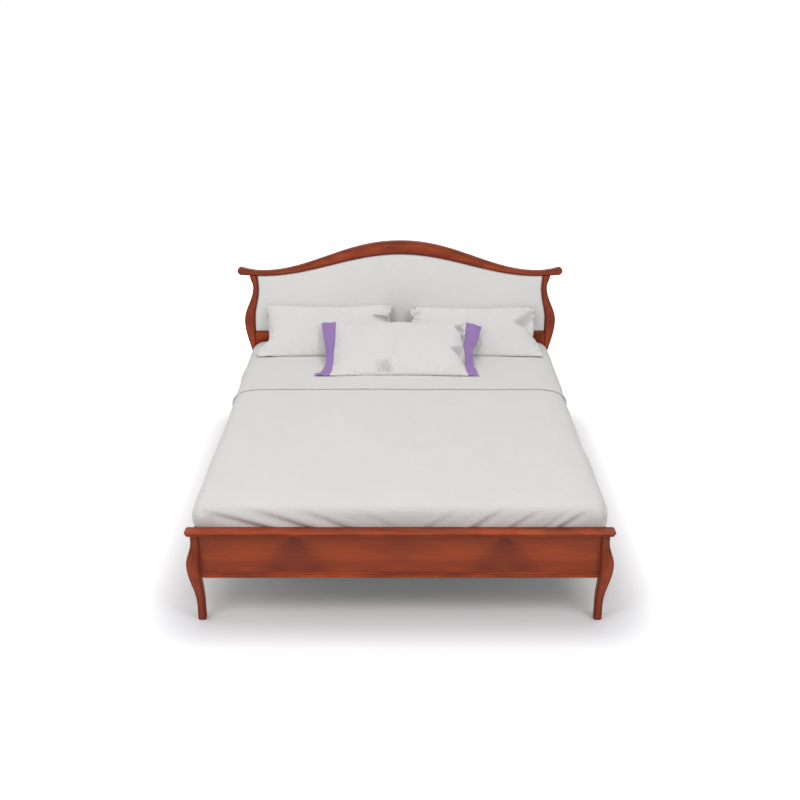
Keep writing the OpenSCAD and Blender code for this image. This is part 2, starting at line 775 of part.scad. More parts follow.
// Duvet: rings at these heights, each a rounded rectangle, with folds in its foot
tuck_clear = 1.2;
tuck_end = 30;          // the tucked edge's height above the slats
tuck_up = 4;            // the swell starts this far above the rails
duvet_in = rail_x - tuck_clear;
duvet_top_z = mattress_top_z + sheet_t + duvet_t;
duvet_bottom_z = mattress_z + tuck_end;
tuck_z = rail_top_z + tuck_up;
// Each level: height, how far past the tucked edge at the sides, and how far in from the foot
duvet_levels = [
    [duvet_bottom_z, 0, 0], [tuck_z, 0, 0],
    [tuck_z + 6, duvet_swell * 0.6, 0], [tuck_z + 18, duvet_swell * 0.94, 0],
    [duvet_top_z - 82, duvet_swell, 0], [duvet_top_z - 58, duvet_swell * 0.93, 1],
    [duvet_top_z - 38, duvet_swell * 0.62, 4], [duvet_top_z - 22, duvet_swell * 0.2, 12],
    [duvet_top_z - 10, -duvet_swell * 0.45, 28], [duvet_top_z - 4, -duvet_swell * 1.3, 60],
    [duvet_top_z, -duvet_swell * 2.3, 108]
];
duvet_foot_clear = 2.5;
duvet_head_clear = 12;
duvet_foot_y = -end_y + duvet_foot_clear;
duvet_head_y = end_y - duvet_head_clear;
duvet_foot_r = 62;
duvet_head_r = 34;
head_flat = 3;          // the head end is this many times less rounded than the foot
corner_steps = 5;
foot_steps = 44;
side_steps = 4;
fold_pitch = 228;
fold_slant = 2.3;
fold_fade_z = 60;
fold_fade_x = 90;
fold_top_z = duvet_top_z - 2;
function fold_depth(x, z) =
    duvet_fold * ease((fold_top_z - z) / fold_fade_z) * ease((duvet_in - abs(x)) / fold_fade_x)
    * pow((1 + cos(360 * (abs(x) - fold_slant * (z - tuck_z)) / fold_pitch)) / 2, 3);
function arc_points(cx, cy, r, from) = [
    for (k = [0 : corner_steps]) let (a = from + 90 * k / corner_steps) [cx + r * cos(a), cy + r * sin(a)]
];
function duvet_ring(level) =
    let (z = level[0], hx = duvet_in + level[1])
    let (y0 = duvet_foot_y + level[2], y1 = duvet_head_y - level[2] / head_flat)
    let (rf = duvet_foot_r, rh = duvet_head_r)
    let (xf = hx - rf, foot_line = [
        for (k = [1 : foot_steps - 1]) let (x = -xf + 2 * xf * k / foot_steps) [x, y0 + fold_depth(x, z)]
    ])
    [for (p = concat(
        arc_points(-xf, y0 + rf, rf, 180), foot_line,
        arc_points(xf, y0 + rf, rf, 270),
        [for (k = [1 : side_steps - 1]) [hx, y0 + rf + (y1 - y0 - rf - rh) * k / side_steps]],
        arc_points(hx - rh, y1 - rh, rh, 0),
        arc_points(-hx + rh, y1 - rh, rh, 90),
        [for (k = [side_steps - 1 : -1 : 1]) [-hx, y0 + rf + (y1 - y0 - rf - rh) * k / side_steps]]
    )) [p[0], p[1], z]];
// The hollow under the duvet: its corners are drawn round the fitted sheet's
hollow_r = (mattress_r + sheet_t + soft_gap / 2) / cos(45 / corner_steps);
hollow_top_z = mattress_top_z + sheet_t + soft_gap / 2;
function duvet_hollow(z) =
    let (cx = mattress_w / 2 - mattress_r, cy = mattress_l / 2 - mattress_r, hx = cx + hollow_r)
    [for (p = concat(
        arc_points(-cx, -cy, hollow_r, 180),
        [for (k = [1 : foot_steps - 1]) [-cx + 2 * cx * k / foot_steps, -cy - hollow_r]],
        arc_points(cx, -cy, hollow_r, 270),
        [for (k = [1 : side_steps - 1]) [hx, -cy + 2 * cy * k / side_steps]],
        arc_points(cx, cy, hollow_r, 0),
        arc_points(-cx, cy, hollow_r, 90),
        [for (k = [side_steps - 1 : -1 : 1]) [-hx, -cy + 2 * cy * k / side_steps]]
    )) [p[0], p[1], z]];
module duvet() {
    color(cloth) skin(concat(
        [duvet_hollow(hollow_top_z), duvet_hollow(duvet_bottom_z)],
        [for (l = duvet_levels) duvet_ring(l)]
    ), [[0, 0, hollow_top_z], [0, 0, duvet_top_z]]);
}

// Turned-down sheet over the duvet's head end, hanging to the rails
turned_hem_up = 12;     // its hem stays at least this far over the duvet's tucked edge
turned_levels = [for (l = duvet_levels) if (l[0] > tuck_z + turned_hem_up) l];
function turned_point(i) = [duvet_in + turned_levels[i][1], turned_levels[i][0]];
function turned_normal(i) =
    let (last = len(turned_levels) - 1, d = turned_point(min(last, i + 1)) - turned_point(max(0, i - 1)))
    i == 0 ? [1, 0] : i == last ? [0, 1] : [d[1], -d[0]] / norm(d);
function turned_side(grow) = [
    for (i = [0 : len(turned_levels) - 1]) turned_point(i) + grow * turned_normal(i)
];
turned_short = 6;       // it stops this far before the duvet's head end
function both_sides(half) = concat([for (p = half) [-p[0], p[1]]], backwards(half));
module turned_sheet() {
    inner = both_sides(turned_side(soft_gap));
    outer = both_sides(turned_side(turned_t));
    color(cloth) upright(-end_y + turned_from, duvet_head_y - turned_short)
        polygon(concat(inner, backwards(outer)));
}

// Pillows: a curved middle line from the front edge up to the back edge, with a crowned thickness
pillow_floor_z = duvet_top_z + turned_t + soft_gap;
pillow_wall_y = end_y - 2;
across = 16;
along = 12;
seam_h = 2;             // half a pillow's thickness at its seam
pillow_lip = 8;         // height of the front seam over the bedding
crown_flat = 2.6;
crown_round = 0.55;
function bent(p, v) =
    let (a = p[3] + (p[4] - p[3]) * (v + 1) / 2, r = p[1] / ((p[4] - p[3]) * PI / 180))
    [p[5] + r * (sin(a) - sin(p[3])), pillow_floor_z + pillow_lip + r * (cos(p[3]) - cos(a)), a];
function crown(u, v, t) =
    seam_h + (t / 2 - seam_h)
        * pow((1 - pow(abs(u), crown_flat)) * (1 - pow(abs(v), crown_flat)), crown_round);
function pillow_point(p, u, v, side) =
    let (vv = v * (1 - 2 * draw_in / p[1] * (1 - u * u)), m = bent(p, vv), h = side * crown(u, v, p[2]))
    [
        p[6] + u * (p[0] / 2 - draw_in * (1 - v * v)),
        min(pillow_wall_y, m[0] - h * sin(m[2])),
        max(pillow_floor_z, m[1] + h * cos(m[2]))
    ];
// Closer rows near the edges, where a pillow is most round
function spread(k, n) = sin(90 * (2 * k / n - 1));
module pillow(p) {
    color(cloth) skin([
        for (i = [0 : across]) let (u = spread(i, across)) concat(
            [for (k = [0 : along]) pillow_point(p, u, spread(k, along), -1)],
            [for (k = [along : -1 : 0]) pillow_point(p, u, spread(k, along), 1)]
        )
    ]);
}
// Each pillow: width, depth, thickness, slope at its front edge, slope at its back edge, front edge, middle
back_slopes = [10, 70];
front_slopes = [5, 42];
back_pillow_x = max(
    (pillow_w + back_pillow_between) / 2, (mattress_w - pillow_w) / 2 - back_pillow_in
);
function back_pillow(sx) = [
    pillow_w, back_pillow_d, back_pillow_t, back_slopes[0], back_slopes[1],
    end_y - back_pillow_from, sx * back_pillow_x
];
front = [
    pillow_w, front_pillow_d, front_pillow_t, front_slopes[0], front_slopes[1],
    end_y - front_pillow_from, 0
];
module left_back_pillow() { pillow(back_pillow(-1)); }
module right_back_pillow() { pillow(back_pillow(1)); }
module front_pillow() { pillow(front); }

// Flat band sewn to each end of the front pillow
band_h = 1.5;
function band_point(v, side, out) =
    let (m = bent(front, v), h = side * band_h)
    [
        front[0] / 2 - draw_in * (1 - v * v) + soft_gap / 2 + out,
        m[0] - h * sin(m[2]),
        max(pillow_floor_z, m[1] + h * cos(m[2]))
    ];
module band() {
    skin([
        for (out = [0, band_w]) concat(
            [for (k = [0 : along]) band_point(spread(k, along), -1, out)],
            [for (k = [along : -1 : 0]) band_point(spread(k, along), 1, out)]
        )
    ]);
}
module front_pillow_right_band() { color(purple_cloth) band(); }
module front_pillow_left_band() { color(purple_cloth) mirror([1, 0, 0]) band(); }

crest_rail();
left_post();
right_post();
headboard_lower_rail();
headboard_bottom_rail();
headboard_backboard();
headboard_foam();
headboard_cover();
headboard_rear_cover();
left_leg();
right_leg();
footboard_panel();
footboard_bead_rail();
footboard_cap();
left_side_rail();
right_side_rail();
left_ledge();
right_ledge();
centre_beam();
front_beam_hanger();
rear_beam_hanger();
for (i = [1 : slat_count]) slat(i);
front_centre_leg();
rear_centre_leg();
front_levelling_foot();
rear_levelling_foot();
foot_glides();
hook_plates();
slot_plates();
frame_dowels();
plate_screws();
ledge_screws();
slat_screws();
hanger_screws();
centre_leg_screws();
mattress();
fitted_sheet();
duvet();
turned_sheet();
left_back_pillow();
right_back_pillow();
front_pillow();
front_pillow_left_band();
front_pillow_right_band();
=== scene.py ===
import math

import bmesh
import bpy
import numpy as np
from bpy.props import FloatProperty, FloatVectorProperty, IntProperty, PointerProperty
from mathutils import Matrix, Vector


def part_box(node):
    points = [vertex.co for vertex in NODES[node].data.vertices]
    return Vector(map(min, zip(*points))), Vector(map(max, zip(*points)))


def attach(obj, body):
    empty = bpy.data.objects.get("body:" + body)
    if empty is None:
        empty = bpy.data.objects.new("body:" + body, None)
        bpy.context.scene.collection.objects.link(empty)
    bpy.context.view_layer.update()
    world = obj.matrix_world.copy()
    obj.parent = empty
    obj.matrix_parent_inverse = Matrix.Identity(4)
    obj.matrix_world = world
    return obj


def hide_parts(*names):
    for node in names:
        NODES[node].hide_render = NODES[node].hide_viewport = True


bl_info = {
    "name": "Upholstered Double Bed",
    "version": (1, 0, 0),
    "blender": (4, 5, 0),
    "location": "View3D > Sidebar > Bed",
    "description": "Dresses a double bed: red-brown wood, upholstered headboard, white bedding",
    "category": "Object",
}

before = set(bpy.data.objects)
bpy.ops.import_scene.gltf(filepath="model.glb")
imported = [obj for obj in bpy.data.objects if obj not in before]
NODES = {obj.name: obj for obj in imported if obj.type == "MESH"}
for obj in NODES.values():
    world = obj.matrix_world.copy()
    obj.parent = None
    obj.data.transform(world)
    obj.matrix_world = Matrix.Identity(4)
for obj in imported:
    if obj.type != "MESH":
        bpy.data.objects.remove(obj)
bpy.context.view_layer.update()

MM = 0.001
RAIL_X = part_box("right_side_rail")[0].x
RAIL_LOW_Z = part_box("right_side_rail")[0].z
RAIL_TOP_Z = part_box("right_side_rail")[1].z
END_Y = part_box("right_side_rail")[1].y
LEG_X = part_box("footboard_bead_rail")[1].x
LEG_TOP_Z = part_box("left_leg")[1].z
POST_TOP_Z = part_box("left_post")[1].z
GLIDE_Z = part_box("foot_glides")[1].z
CAP_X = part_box("footboard_cap")[1].x
CAP_FRONT_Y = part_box("footboard_cap")[0].y
PANEL_LOW_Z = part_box("footboard_panel")[0].z
PANEL_FRONT_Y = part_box("footboard_panel")[0].y
BEAD_FRONT_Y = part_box("footboard_bead_rail")[0].y
CREST_BACK_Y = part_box("crest_rail")[1].y
LOWER_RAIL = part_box("headboard_lower_rail")
PAD_FRONT_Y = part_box("headboard_cover")[0].y
PAD_BACK_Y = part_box("headboard_foam")[1].y
REAR_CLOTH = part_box("headboard_rear_cover")
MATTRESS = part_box("mattress")
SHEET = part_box("fitted_sheet")
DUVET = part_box("duvet")
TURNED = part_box("turned_sheet")
TUCK_X = RAIL_X - 1.2 * MM
SLATS = sorted(name for name in NODES if name.startswith("slat_") and name != "slat_screws")

# Height and reach of the legs and posts, in millimetres, as the frame has them
LEG_OUTER = ((3, 26), (72, 26), (275, 53), (372, 33), (403, 33))
POST_OUTER = ((3, 26), (72, 26), (275, 53), (372, 33), (640, 79), (845, 22), (907, 37))
POST_REAR = ((3, 26), (72, 26), (275, 53), (372, 33), (640, 50), (907, 45))
POST_INNER = ((403, 0), (459, 20), (645, 20), (840, -8), (907, -5))
FOOT_IN = 7 * MM
ANKLE_Z = 72 * MM
# The crest rail dips at this distance from the middle, and turns up over the rest of its length
DIP_X = 777 * MM
UPTURN = 119 * MM


class BedSizes(bpy.types.PropertyGroup):
    edge_radius: FloatProperty(
        name="Wood Edge Radius", description="Rounding along the legs' and posts' edges",
        default=6 * MM, min=1 * MM, max=12 * MM, subtype="DISTANCE", unit="LENGTH")
    crest_radius: FloatProperty(
        name="Crest Edge Radius", description="Rounding along the crest rail's edges",
        default=11 * MM, min=2 * MM, max=14 * MM, subtype="DISTANCE", unit="LENGTH")
    board_radius: FloatProperty(
        name="Board Edge Radius", description="Rounding along the rails and the slats",
        default=2.5 * MM, min=0.5 * MM, max=5 * MM, subtype="DISTANCE", unit="LENGTH")
    headboard_roll: FloatProperty(
        name="Headboard Edge Roll", description="How far the headboard's padding rolls back at its edges",
        default=9 * MM, min=1 * MM, max=16 * MM, subtype="DISTANCE", unit="LENGTH")
    foot_fold: FloatProperty(
        name="Foot Fold Depth", description="Depth of the slanting folds at the foot of the duvet",
        default=9 * MM, min=0, max=14 * MM, subtype="DISTANCE", unit="LENGTH")
    duvet_swell: FloatProperty(
        name="Duvet Swell", description="Height of the soft unevenness over the duvet",
        default=2.4 * MM, min=0, max=6 * MM, subtype="DISTANCE", unit="LENGTH")
    turned_roll: FloatProperty(
        name="Turned Edge Height", description="Thickness of the turned-down sheet at its rolled edge",
        default=11 * MM, min=3 * MM, max=14 * MM, subtype="DISTANCE", unit="LENGTH")
    pillow_pressure: FloatProperty(
        name="Pillow Pressure", description="How hard the filling presses on the pillow cases",
        default=5.0, min=1.0, max=12.0)
    pillow_frames: IntProperty(
        name="Pillow Frames", description="Frames for which the pillows are blown up",
        default=26, min=8, max=60)
    band_wave: FloatProperty(
        name="Band Wave", description="Height of the waves in the purple bands",
        default=9 * MM, min=0, max=12 * MM, subtype="DISTANCE", unit="LENGTH")


class BedFinishes(bpy.types.PropertyGroup):
    wood_light: FloatVectorProperty(
        name="Wood Light", description="Light tone of the stained red-brown wood",
        default=(0.395, 0.065, 0.017), size=3, subtype="COLOR", min=0, max=1)
    wood_dark: FloatVectorProperty(
        name="Wood Dark", description="Dark tone of the stained red-brown wood",
        default=(0.172, 0.027, 0.010), size=3, subtype="COLOR", min=0, max=1)
    bedding: FloatVectorProperty(
        name="Bedding", description="White cotton of the duvet, sheets and pillow cases",
        default=(0.720, 0.712, 0.696), size=3, subtype="COLOR", min=0, max=1)
    headboard: FloatVectorProperty(
        name="Headboard Cloth", description="Off-white cloth on the headboard",
        default=(0.835, 0.832, 0.822), size=3, subtype="COLOR", min=0, max=1)
    purple: FloatVectorProperty(
        name="Band Cloth", description="Purple cotton of the bands on the front pillow",
        default=(0.320, 0.200, 0.450), size=3, subtype="COLOR", min=0, max=1)
    pale_wood: FloatVectorProperty(
        name="Pale Wood", description="Unfinished wood of the slats, ledges and beam",
        default=(0.620, 0.430, 0.235), size=3, subtype="COLOR", min=0, max=1)
    steel: FloatVectorProperty(
        name="Steel", description="Zinc-plated steel of the plates, screws and hangers",
        default=(0.560, 0.570, 0.580), size=3, subtype="COLOR", min=0, max=1)
    plastic: FloatVectorProperty(
        name="Dark Plastic", description="Moulded plastic of the glides and levelling feet",
        default=(0.045, 0.042, 0.040), size=3, subtype="COLOR", min=0, max=1)


# Shape helpers

def ease(share):
    return (1 - np.cos(np.pi * np.clip(share, 0, 1))) / 2


def reach(stations, z):
    """Reach in metres at a height in metres, easing from each station to the next."""
    heights = [s[0] * MM for s in stations]
    z = min(max(z, heights[0]), heights[-1])
    i = max(k for k in range(len(stations) - 1) if z >= heights[k])
    share = (z - heights[i]) / (heights[i + 1] - heights[i])
    return (stations[i][1] + (stations[i + 1][1] - stations[i][1]) * float(ease(share))) * MM


def leg_inner(z):
    """Inner edge of a leg: the foot reaches in and eases out to the inner plane under the rails."""
    share = min(max((z - ANKLE_Z) / (RAIL_LOW_Z - ANKLE_Z), 0), 1)
    return -FOOT_IN * math.cos(math.pi / 2 * share)


def arch(x, warp):
    """The crest's rise, from 0 at its dips to 1 in the middle."""
    return 1 - ease(min(1, abs(x) / DIP_X) ** warp)


def past_dip(x):
    return min(max((abs(x) - DIP_X) / UPTURN, 0), 1)


def crest_under(x):
    """Height of the crest's lower edge: at the dip, more under the arch, a little more at the end."""
    return (907 + 125 * arch(x, 1) + 4 * past_dip(x) ** 2) * MM


def crest_top(x):
    """Height of the crest's upper edge, made up like its lower edge."""
    return (935.5 + 171 * arch(x, 1.07) + 19.5 * past_dip(x) ** 2) * MM


def smooth_through(rows, steps):
    """Rows of numbers along a smooth curve through the given rows."""
    rows = np.array(rows, float)
    ends = np.vstack([2 * rows[0] - rows[1], rows, 2 * rows[-1] - rows[-2]])
    out = []
    for i in range(len(rows) - 1):
        a, b, c, d = ends[i:i + 4]
        for t in np.arange(steps) / steps:
            out.append(0.5 * (2 * b + (c - a) * t + (2 * a - 5 * b + 4 * c - d) * t ** 2
                              + (3 * b - a - 3 * c + d) * t ** 3))
    return np.array(out + [rows[-1]])


def ripple(x, y, wave, seed):
    """Soft unevenness between about -1 and 1, whose bumps are about a wave apart."""
    random = np.random.default_rng(seed)
    total = 0
    for _ in range(7):
        turn, phase = random.uniform(0, 2 * np.pi, 2)
        length = wave * random.uniform(0.75, 1.6)
        total = total + np.sin(2 * np.pi * (x * np.cos(turn) + y * np.sin(turn)) / length + phase)
    return total / 3.2


def rounded_ring(low, high, radius, steps=4):
    """Points round a rounded rectangle, and for each how close it is to the middle of an edge."""
    (x0, y0), (x1, y1) = low, high
    radius = min(radius, (x1 - x0) / 2.1, (y1 - y0) / 2.1)
    flat = min(radius, (x1 - x0) / 2 - radius, (y1 - y0) / 2 - radius) * 0.9
    points, tones = [], []
    corners = ((x1 - radius, y1 - radius), (x0 + radius, y1 - radius),
               (x0 + radius, y0 + radius), (x1 - radius, y0 + radius))
    for n, (cx, cy) in enumerate(corners):
        start, end = math.pi / 2 * n, math.pi / 2 * (n + 1)
        points.append((cx + radius * math.cos(start) + flat * math.sin(start),
                       cy + radius * math.sin(start) - flat * math.cos(start)))
        tones.append(0.0)
        for k in range(steps + 1):
            a = start + (end - start) * k / steps
            points.append((cx + radius * math.cos(a), cy + radius * math.sin(a)))
            tones.append(math.sin(math.pi * k / steps) ** 0.5 if 0 < k < steps else 0.6)
        points.append((cx + radius * math.cos(end) - flat * math.sin(end),
                       cy + radius * math.sin(end) + flat * math.cos(end)))
        tones.append(0.0)
    return points, tones


def loft(rings):
    """Points and faces of a closed skin over rings of equal length."""
    rings = np.asarray(rings, float)
    count, size = rings.shape[:2]
    faces = [
        (i * size + j, i * size + (j + 1) % size, (i + 1) * size + (j + 1) % size, (i + 1) * size + j)
        for i in range(count - 1) for j in range(size)
    ]
    faces.append(tuple(range(size - 1, -1, -1)))
    faces.append(tuple((count - 1) * size + j for j in range(size)))
    return rings.reshape(-1, 3), faces


def new_piece(name, points, faces, material, sharp=40, tones=None, flat=None):
    """A mesh object with faces outwards. Tones go to the edge tone, flat to the cloth's own coordinates."""
    mesh = bpy.data.meshes.new(name)
    mesh.from_pydata(np.asarray(points, float).tolist(), [], faces)
    if tones is not None:
        mesh.attributes.new("edge_tone", "FLOAT", "POINT").data.foreach_set(
            "value", np.asarray(tones, np.float32).ravel())
    if flat is not None:
        set_cloth_uv(mesh, np.asarray(flat, float))
    turned = bmesh.new()
    turned.from_mesh(mesh)
    bmesh.ops.recalc_face_normals(turned, faces=turned.faces)
    turned.to_mesh(mesh)
    turned.free()
    mesh.shade_smooth()
    if sharp:
        mesh.set_sharp_from_angle(angle=math.radians(sharp))
    mesh.materials.append(material)
    piece = bpy.data.objects.new(name, mesh)
    bpy.context.scene.collection.objects.link(piece)
    return piece


def set_cloth_uv(mesh, flat):
    """Lays the cloth's flat coordinates, in metres, over the mesh as its UV map."""
    corners = np.zeros(len(mesh.loops), np.int32)
    mesh.loops.foreach_get("vertex_index", corners)
    mesh.uv_layers.new(name="cloth").data.foreach_set("uv", flat[corners].astype(np.float32).ravel())


def points_of(mesh):
    points = np.zeros(len(mesh.vertices) * 3)
    mesh.vertices.foreach_get("co", points)
    return points.reshape(-1, 3)


def normals_of(mesh):
    normals = np.zeros(len(mesh.vertices) * 3, np.float32)
    mesh.vertex_normals.foreach_get("vector", normals)
    return normals.reshape(-1, 3).astype(float)


def place(piece, body, slot, *nodes):
    """Lets a piece ride on a body and stand for CAD nodes, which it hides; the slot is not used."""
    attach(piece, body)
    if nodes:
        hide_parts(*nodes)
    return piece


def baked(piece):
    """Turns a piece with modifiers into a plain mesh piece of the same name."""
    bpy.context.view_layer.update()
    mesh = bpy.data.meshes.new_from_object(piece.evaluated_get(bpy.context.evaluated_depsgraph_get()))
    piece.modifiers.clear()
    piece.data = mesh
    return piece


# Materials

def add(tree, kind, inputs=None, **settings):
    """A node with its settings, whose inputs are linked to sockets or set to values."""
    node = tree.nodes.new(kind)
    for key, value in settings.items():
        setattr(node, key, value)
    for key, value in (inputs or {}).items():
        if isinstance(value, bpy.types.NodeSocket):
            tree.links.new(value, node.inputs[key])
        else:
            node.inputs[key].default_value = value
    return node


def calc(tree, operation, a, b=0.0, c=0.0, clamp=False):
    return add(tree, "ShaderNodeMath", {0: a, 1: b, 2: c}, operation=operation, use_clamp=clamp).outputs[0]


def between(tree, value, low, high, to_low=0.0, to_high=1.0):
    """Value from low to high, moved smoothly to another range."""
    return add(tree, "ShaderNodeMapRange", {
        "Value": value, "From Min": low, "From Max": high, "To Min": to_low, "To Max": to_high,
    }, interpolation_type="SMOOTHSTEP").outputs["Result"]


def mix_colours(tree, share, a, b, blend="MIX"):
    return add(tree, "ShaderNodeMix", {0: share, 6: a, 7: b}, data_type="RGBA", blend_type=blend).outputs[2]


def stretched(tree, vector, scale):
    return add(tree, "ShaderNodeVectorMath", {0: vector, 1: scale}, operation="MULTIPLY").outputs[0]


def noise(tree, vector, detail=3.0, roughness=0.5, distortion=0.0):
    return add(tree, "ShaderNodeTexNoise", {
        "Vector": vector, "Scale": 1.0, "Detail": detail, "Roughness": roughness, "Distortion": distortion,
    }).outputs[0]


def rgba(colour, share=1.0):
    return tuple(c * share for c in colour) + (1.0,)


def shader_group(name, inputs, outputs):
    """An empty shader node group with its sockets, its input node and its output node."""
    tree = bpy.data.node_groups.new(name, "ShaderNodeTree")
    for label, kind, default in inputs:
        socket = tree.interface.new_socket(name=label, in_out="INPUT", socket_type=kind)
        if default is not None:
            socket.default_value = default
    for label, kind in outputs:
        tree.interface.new_socket(name=label, in_out="OUTPUT", socket_type=kind)
    return tree, tree.nodes.new("NodeGroupInput"), tree.nodes.new("NodeGroupOutput")


def use_group(tree, group, **inputs):
    node = add(tree, "ShaderNodeGroup", node_tree=group)
    for key, value in inputs.items():
        socket = node.inputs[key.replace("_", " ").title()]
        if isinstance(value, bpy.types.NodeSocket):
            tree.links.new(value, socket)
        else:
            socket.default_value = value
    return node


def wood_figure_group():
    """Grain that runs along X: broad figure, fine streaks, soft blotches and open pores."""
    tree, given, made = shader_group(
        "Wood Figure",
        [("Along Grain", "NodeSocketVector", None), ("Figure Size", "NodeSocketFloat", 1.0)],
        [("Tone", "NodeSocketFloat"), ("Pores", "NodeSocketFloat"), ("Relief", "NodeSocketFloat")])
    along = add(tree, "ShaderNodeVectorMath", {0: given.outputs[0], "Scale": given.outputs[1]},
                operation="SCALE").outputs[0]
    sway = noise(tree, stretched(tree, along, (1.6, 5.0, 5.0)), 2.0)
    swayed = add(tree, "ShaderNodeVectorMath", {0: along, 1: (0.05, 0.12, 0.12), 2: along},
                 operation="MULTIPLY_ADD").outputs[0]
    shift = calc(tree, "MULTIPLY", sway, 0.10)
    bent = add(tree, "ShaderNodeVectorMath", {
        0: swayed, 1: add(tree, "ShaderNodeCombineXYZ", {1: shift, 2: shift}).outputs[0],
    }, operation="ADD").outputs[0]
    broad = noise(tree, stretched(tree, bent, (2.2, 26.0, 26.0)), 3.0, 0.55)
    streaks = noise(tree, stretched(tree, bent, (7.0, 190.0, 190.0)), 4.0, 0.6)
    blotch = noise(tree, stretched(tree, along, (4.5, 8.0, 8.0)), 3.0, 0.55, 0.6)
    tone = calc(tree, "MULTIPLY_ADD", broad, 0.42, calc(
        tree, "MULTIPLY_ADD", streaks, 0.20, calc(tree, "MULTIPLY", blotch, 0.38)))
    pores = between(tree, noise(tree, stretched(tree, along, (60.0, 1500.0, 1500.0)), 2.0), 0.60, 0.74)
    tree.links.new(between(tree, tone, 0.36, 0.64), made.inputs[0])
    tree.links.new(pores, made.inputs[1])
    relief = calc(tree, "MULTIPLY_ADD", streaks, 0.4, calc(tree, "MULTIPLY", pores, -0.6))
    tree.links.new(relief, made.inputs[2])
    return tree


def book_matched_group():
    """Veneer leaves opened like a book about the middle, each with a knot and a dark flame under it."""
    tree, given, made = shader_group(
        "Book Matched Veneer", [("Point", "NodeSocketVector", None)],
        [("Shade", "NodeSocketFloat"), ("Folded Point", "NodeSocketVector")])
    parts = add(tree, "ShaderNodeSeparateXYZ", {0: given.outputs[0]})
    leaf = calc(tree, "ABSOLUTE", calc(tree, "SUBTRACT", calc(tree, "ABSOLUTE", parts.outputs[0]), 0.425))
    down = calc(tree, "SUBTRACT", 0.403, parts.outputs[2])
    folded = add(tree, "ShaderNodeCombineXYZ", {0: leaf, 1: parts.outputs[1], 2: parts.outputs[2]}).outputs[0]
    wander = calc(tree, "SUBTRACT", noise(tree, stretched(tree, folded, (7.0, 1.0, 16.0)), 3.0), 0.5)
    leaf_w = calc(tree, "MULTIPLY_ADD", wander, 0.07, leaf)
    down_w = calc(tree, "MULTIPLY_ADD", wander, 0.05, down)
    knot = calc(tree, "MULTIPLY", between(tree, leaf_w, 0.030, 0.004),
                calc(tree, "MULTIPLY", between(tree, down_w, 0.010, 0.024),
                     between(tree, down_w, 0.062, 0.034)))
    spread = calc(tree, "MULTIPLY_ADD", down_w, 0.75, 0.035)
    flame = calc(tree, "MULTIPLY", between(tree, calc(tree, "DIVIDE", leaf_w, spread), 1.25, 0.35),
                 between(tree, down_w, 0.0, 0.05))
    # Painted shade: the panel's top band, under the cap, is darker, less so in the middle of each leaf
    upper = calc(tree, "MULTIPLY", between(tree, down_w, 0.085, 0.045),
                 between(tree, leaf_w, 0.02, 0.12, 0.6, 1.0))
    seam = calc(tree, "MULTIPLY", between(tree, leaf_w, 0.33, 0.42), between(tree, down_w, 0.15, 0.06))
    shade = calc(tree, "MULTIPLY_ADD", knot, 0.70, calc(
        tree, "MULTIPLY_ADD", flame, 0.46, calc(tree, "MULTIPLY_ADD", upper, 0.34, calc(
            tree, "MULTIPLY", seam, 0.22))))
    tree.links.new(shade, made.inputs[0])
    tree.links.new(folded, made.inputs[1])
    return tree


def plain_weave_group():
    """Over-and-under threads of a plain weave, with thick and thin places in the yarn."""
    tree, given, made = shader_group(
        "Plain Weave",
        [("Flat", "NodeSocketVector", None), ("Threads", "NodeSocketFloat", 900.0)],
        [("Height", "NodeSocketFloat"), ("Tone", "NodeSocketFloat")])
    scaled = add(tree, "ShaderNodeVectorMath", {0: given.outputs[0], "Scale": given.outputs[1]},
                 operation="SCALE").outputs[0]
    parts = add(tree, "ShaderNodeSeparateXYZ", {0: scaled})
    across = calc(tree, "SINE", calc(tree, "MULTIPLY", parts.outputs[0], math.pi))
    along = calc(tree, "SINE", calc(tree, "MULTIPLY", parts.outputs[1], math.pi))
    over = calc(tree, "MULTIPLY", across, along)
    slub_x = noise(tree, stretched(tree, scaled, (0.02, 0.9, 1.0)), 2.0)
    slub_y = noise(tree, stretched(tree, scaled, (0.9, 0.02, 1.0)), 2.0)
    slub = calc(tree, "ADD", slub_x, slub_y)
    tree.links.new(calc(tree, "MULTIPLY_ADD", over, 0.35, slub), made.inputs[0])
    tree.links.new(between(tree, slub, 0.7, 1.3), made.inputs[1])
    return tree


def soft_creases_group():
    """Faint creases and soft hollows in cloth, in the piece's own space."""
    tree, given, made = shader_group(
        "Soft Creases", [("Point", "NodeSocketVector", None), ("Size", "NodeSocketFloat", 1.0)],
        [("Height", "NodeSocketFloat"), ("Shade", "NodeSocketFloat")])
    point = add(tree, "ShaderNodeVectorMath", {0: given.outputs[0], "Scale": given.outputs[1]},
                operation="SCALE").outputs[0]
    wide = noise(tree, stretched(tree, point, (5.0, 4.0, 5.0)), 3.0, 0.45, 0.8)
    ridge = calc(tree, "ABSOLUTE", calc(tree, "SUBTRACT", noise(
        tree, stretched(tree, point, (9.0, 6.0, 9.0)), 2.0, 0.5, 1.2), 0.5))
    crease = between(tree, ridge, 0.05, 0.0)
    tree.links.new(calc(tree, "MULTIPLY_ADD", crease, 0.25, wide), made.inputs[0])
    tree.links.new(wide, made.inputs[1])
    return tree


GROUPS = {}
FINISHES = {}


def group(name):
    makers = {
        "Wood Figure": wood_figure_group, "Book Matched Veneer": book_matched_group,
        "Plain Weave": plain_weave_group, "Soft Creases": soft_creases_group,
    }
    if name not in GROUPS:
        GROUPS[name] = makers[name]()
    return GROUPS[name]


def new_material(name):
    """A material with its tree, its Principled shader and a coordinate node."""
    material = bpy.data.materials.new(name)
    material.use_nodes = True
    tree = material.node_tree
    shader = next(n for n in tree.nodes if n.type == "BSDF_PRINCIPLED")
    return material, tree, shader, tree.nodes.new("ShaderNodeTexCoord")


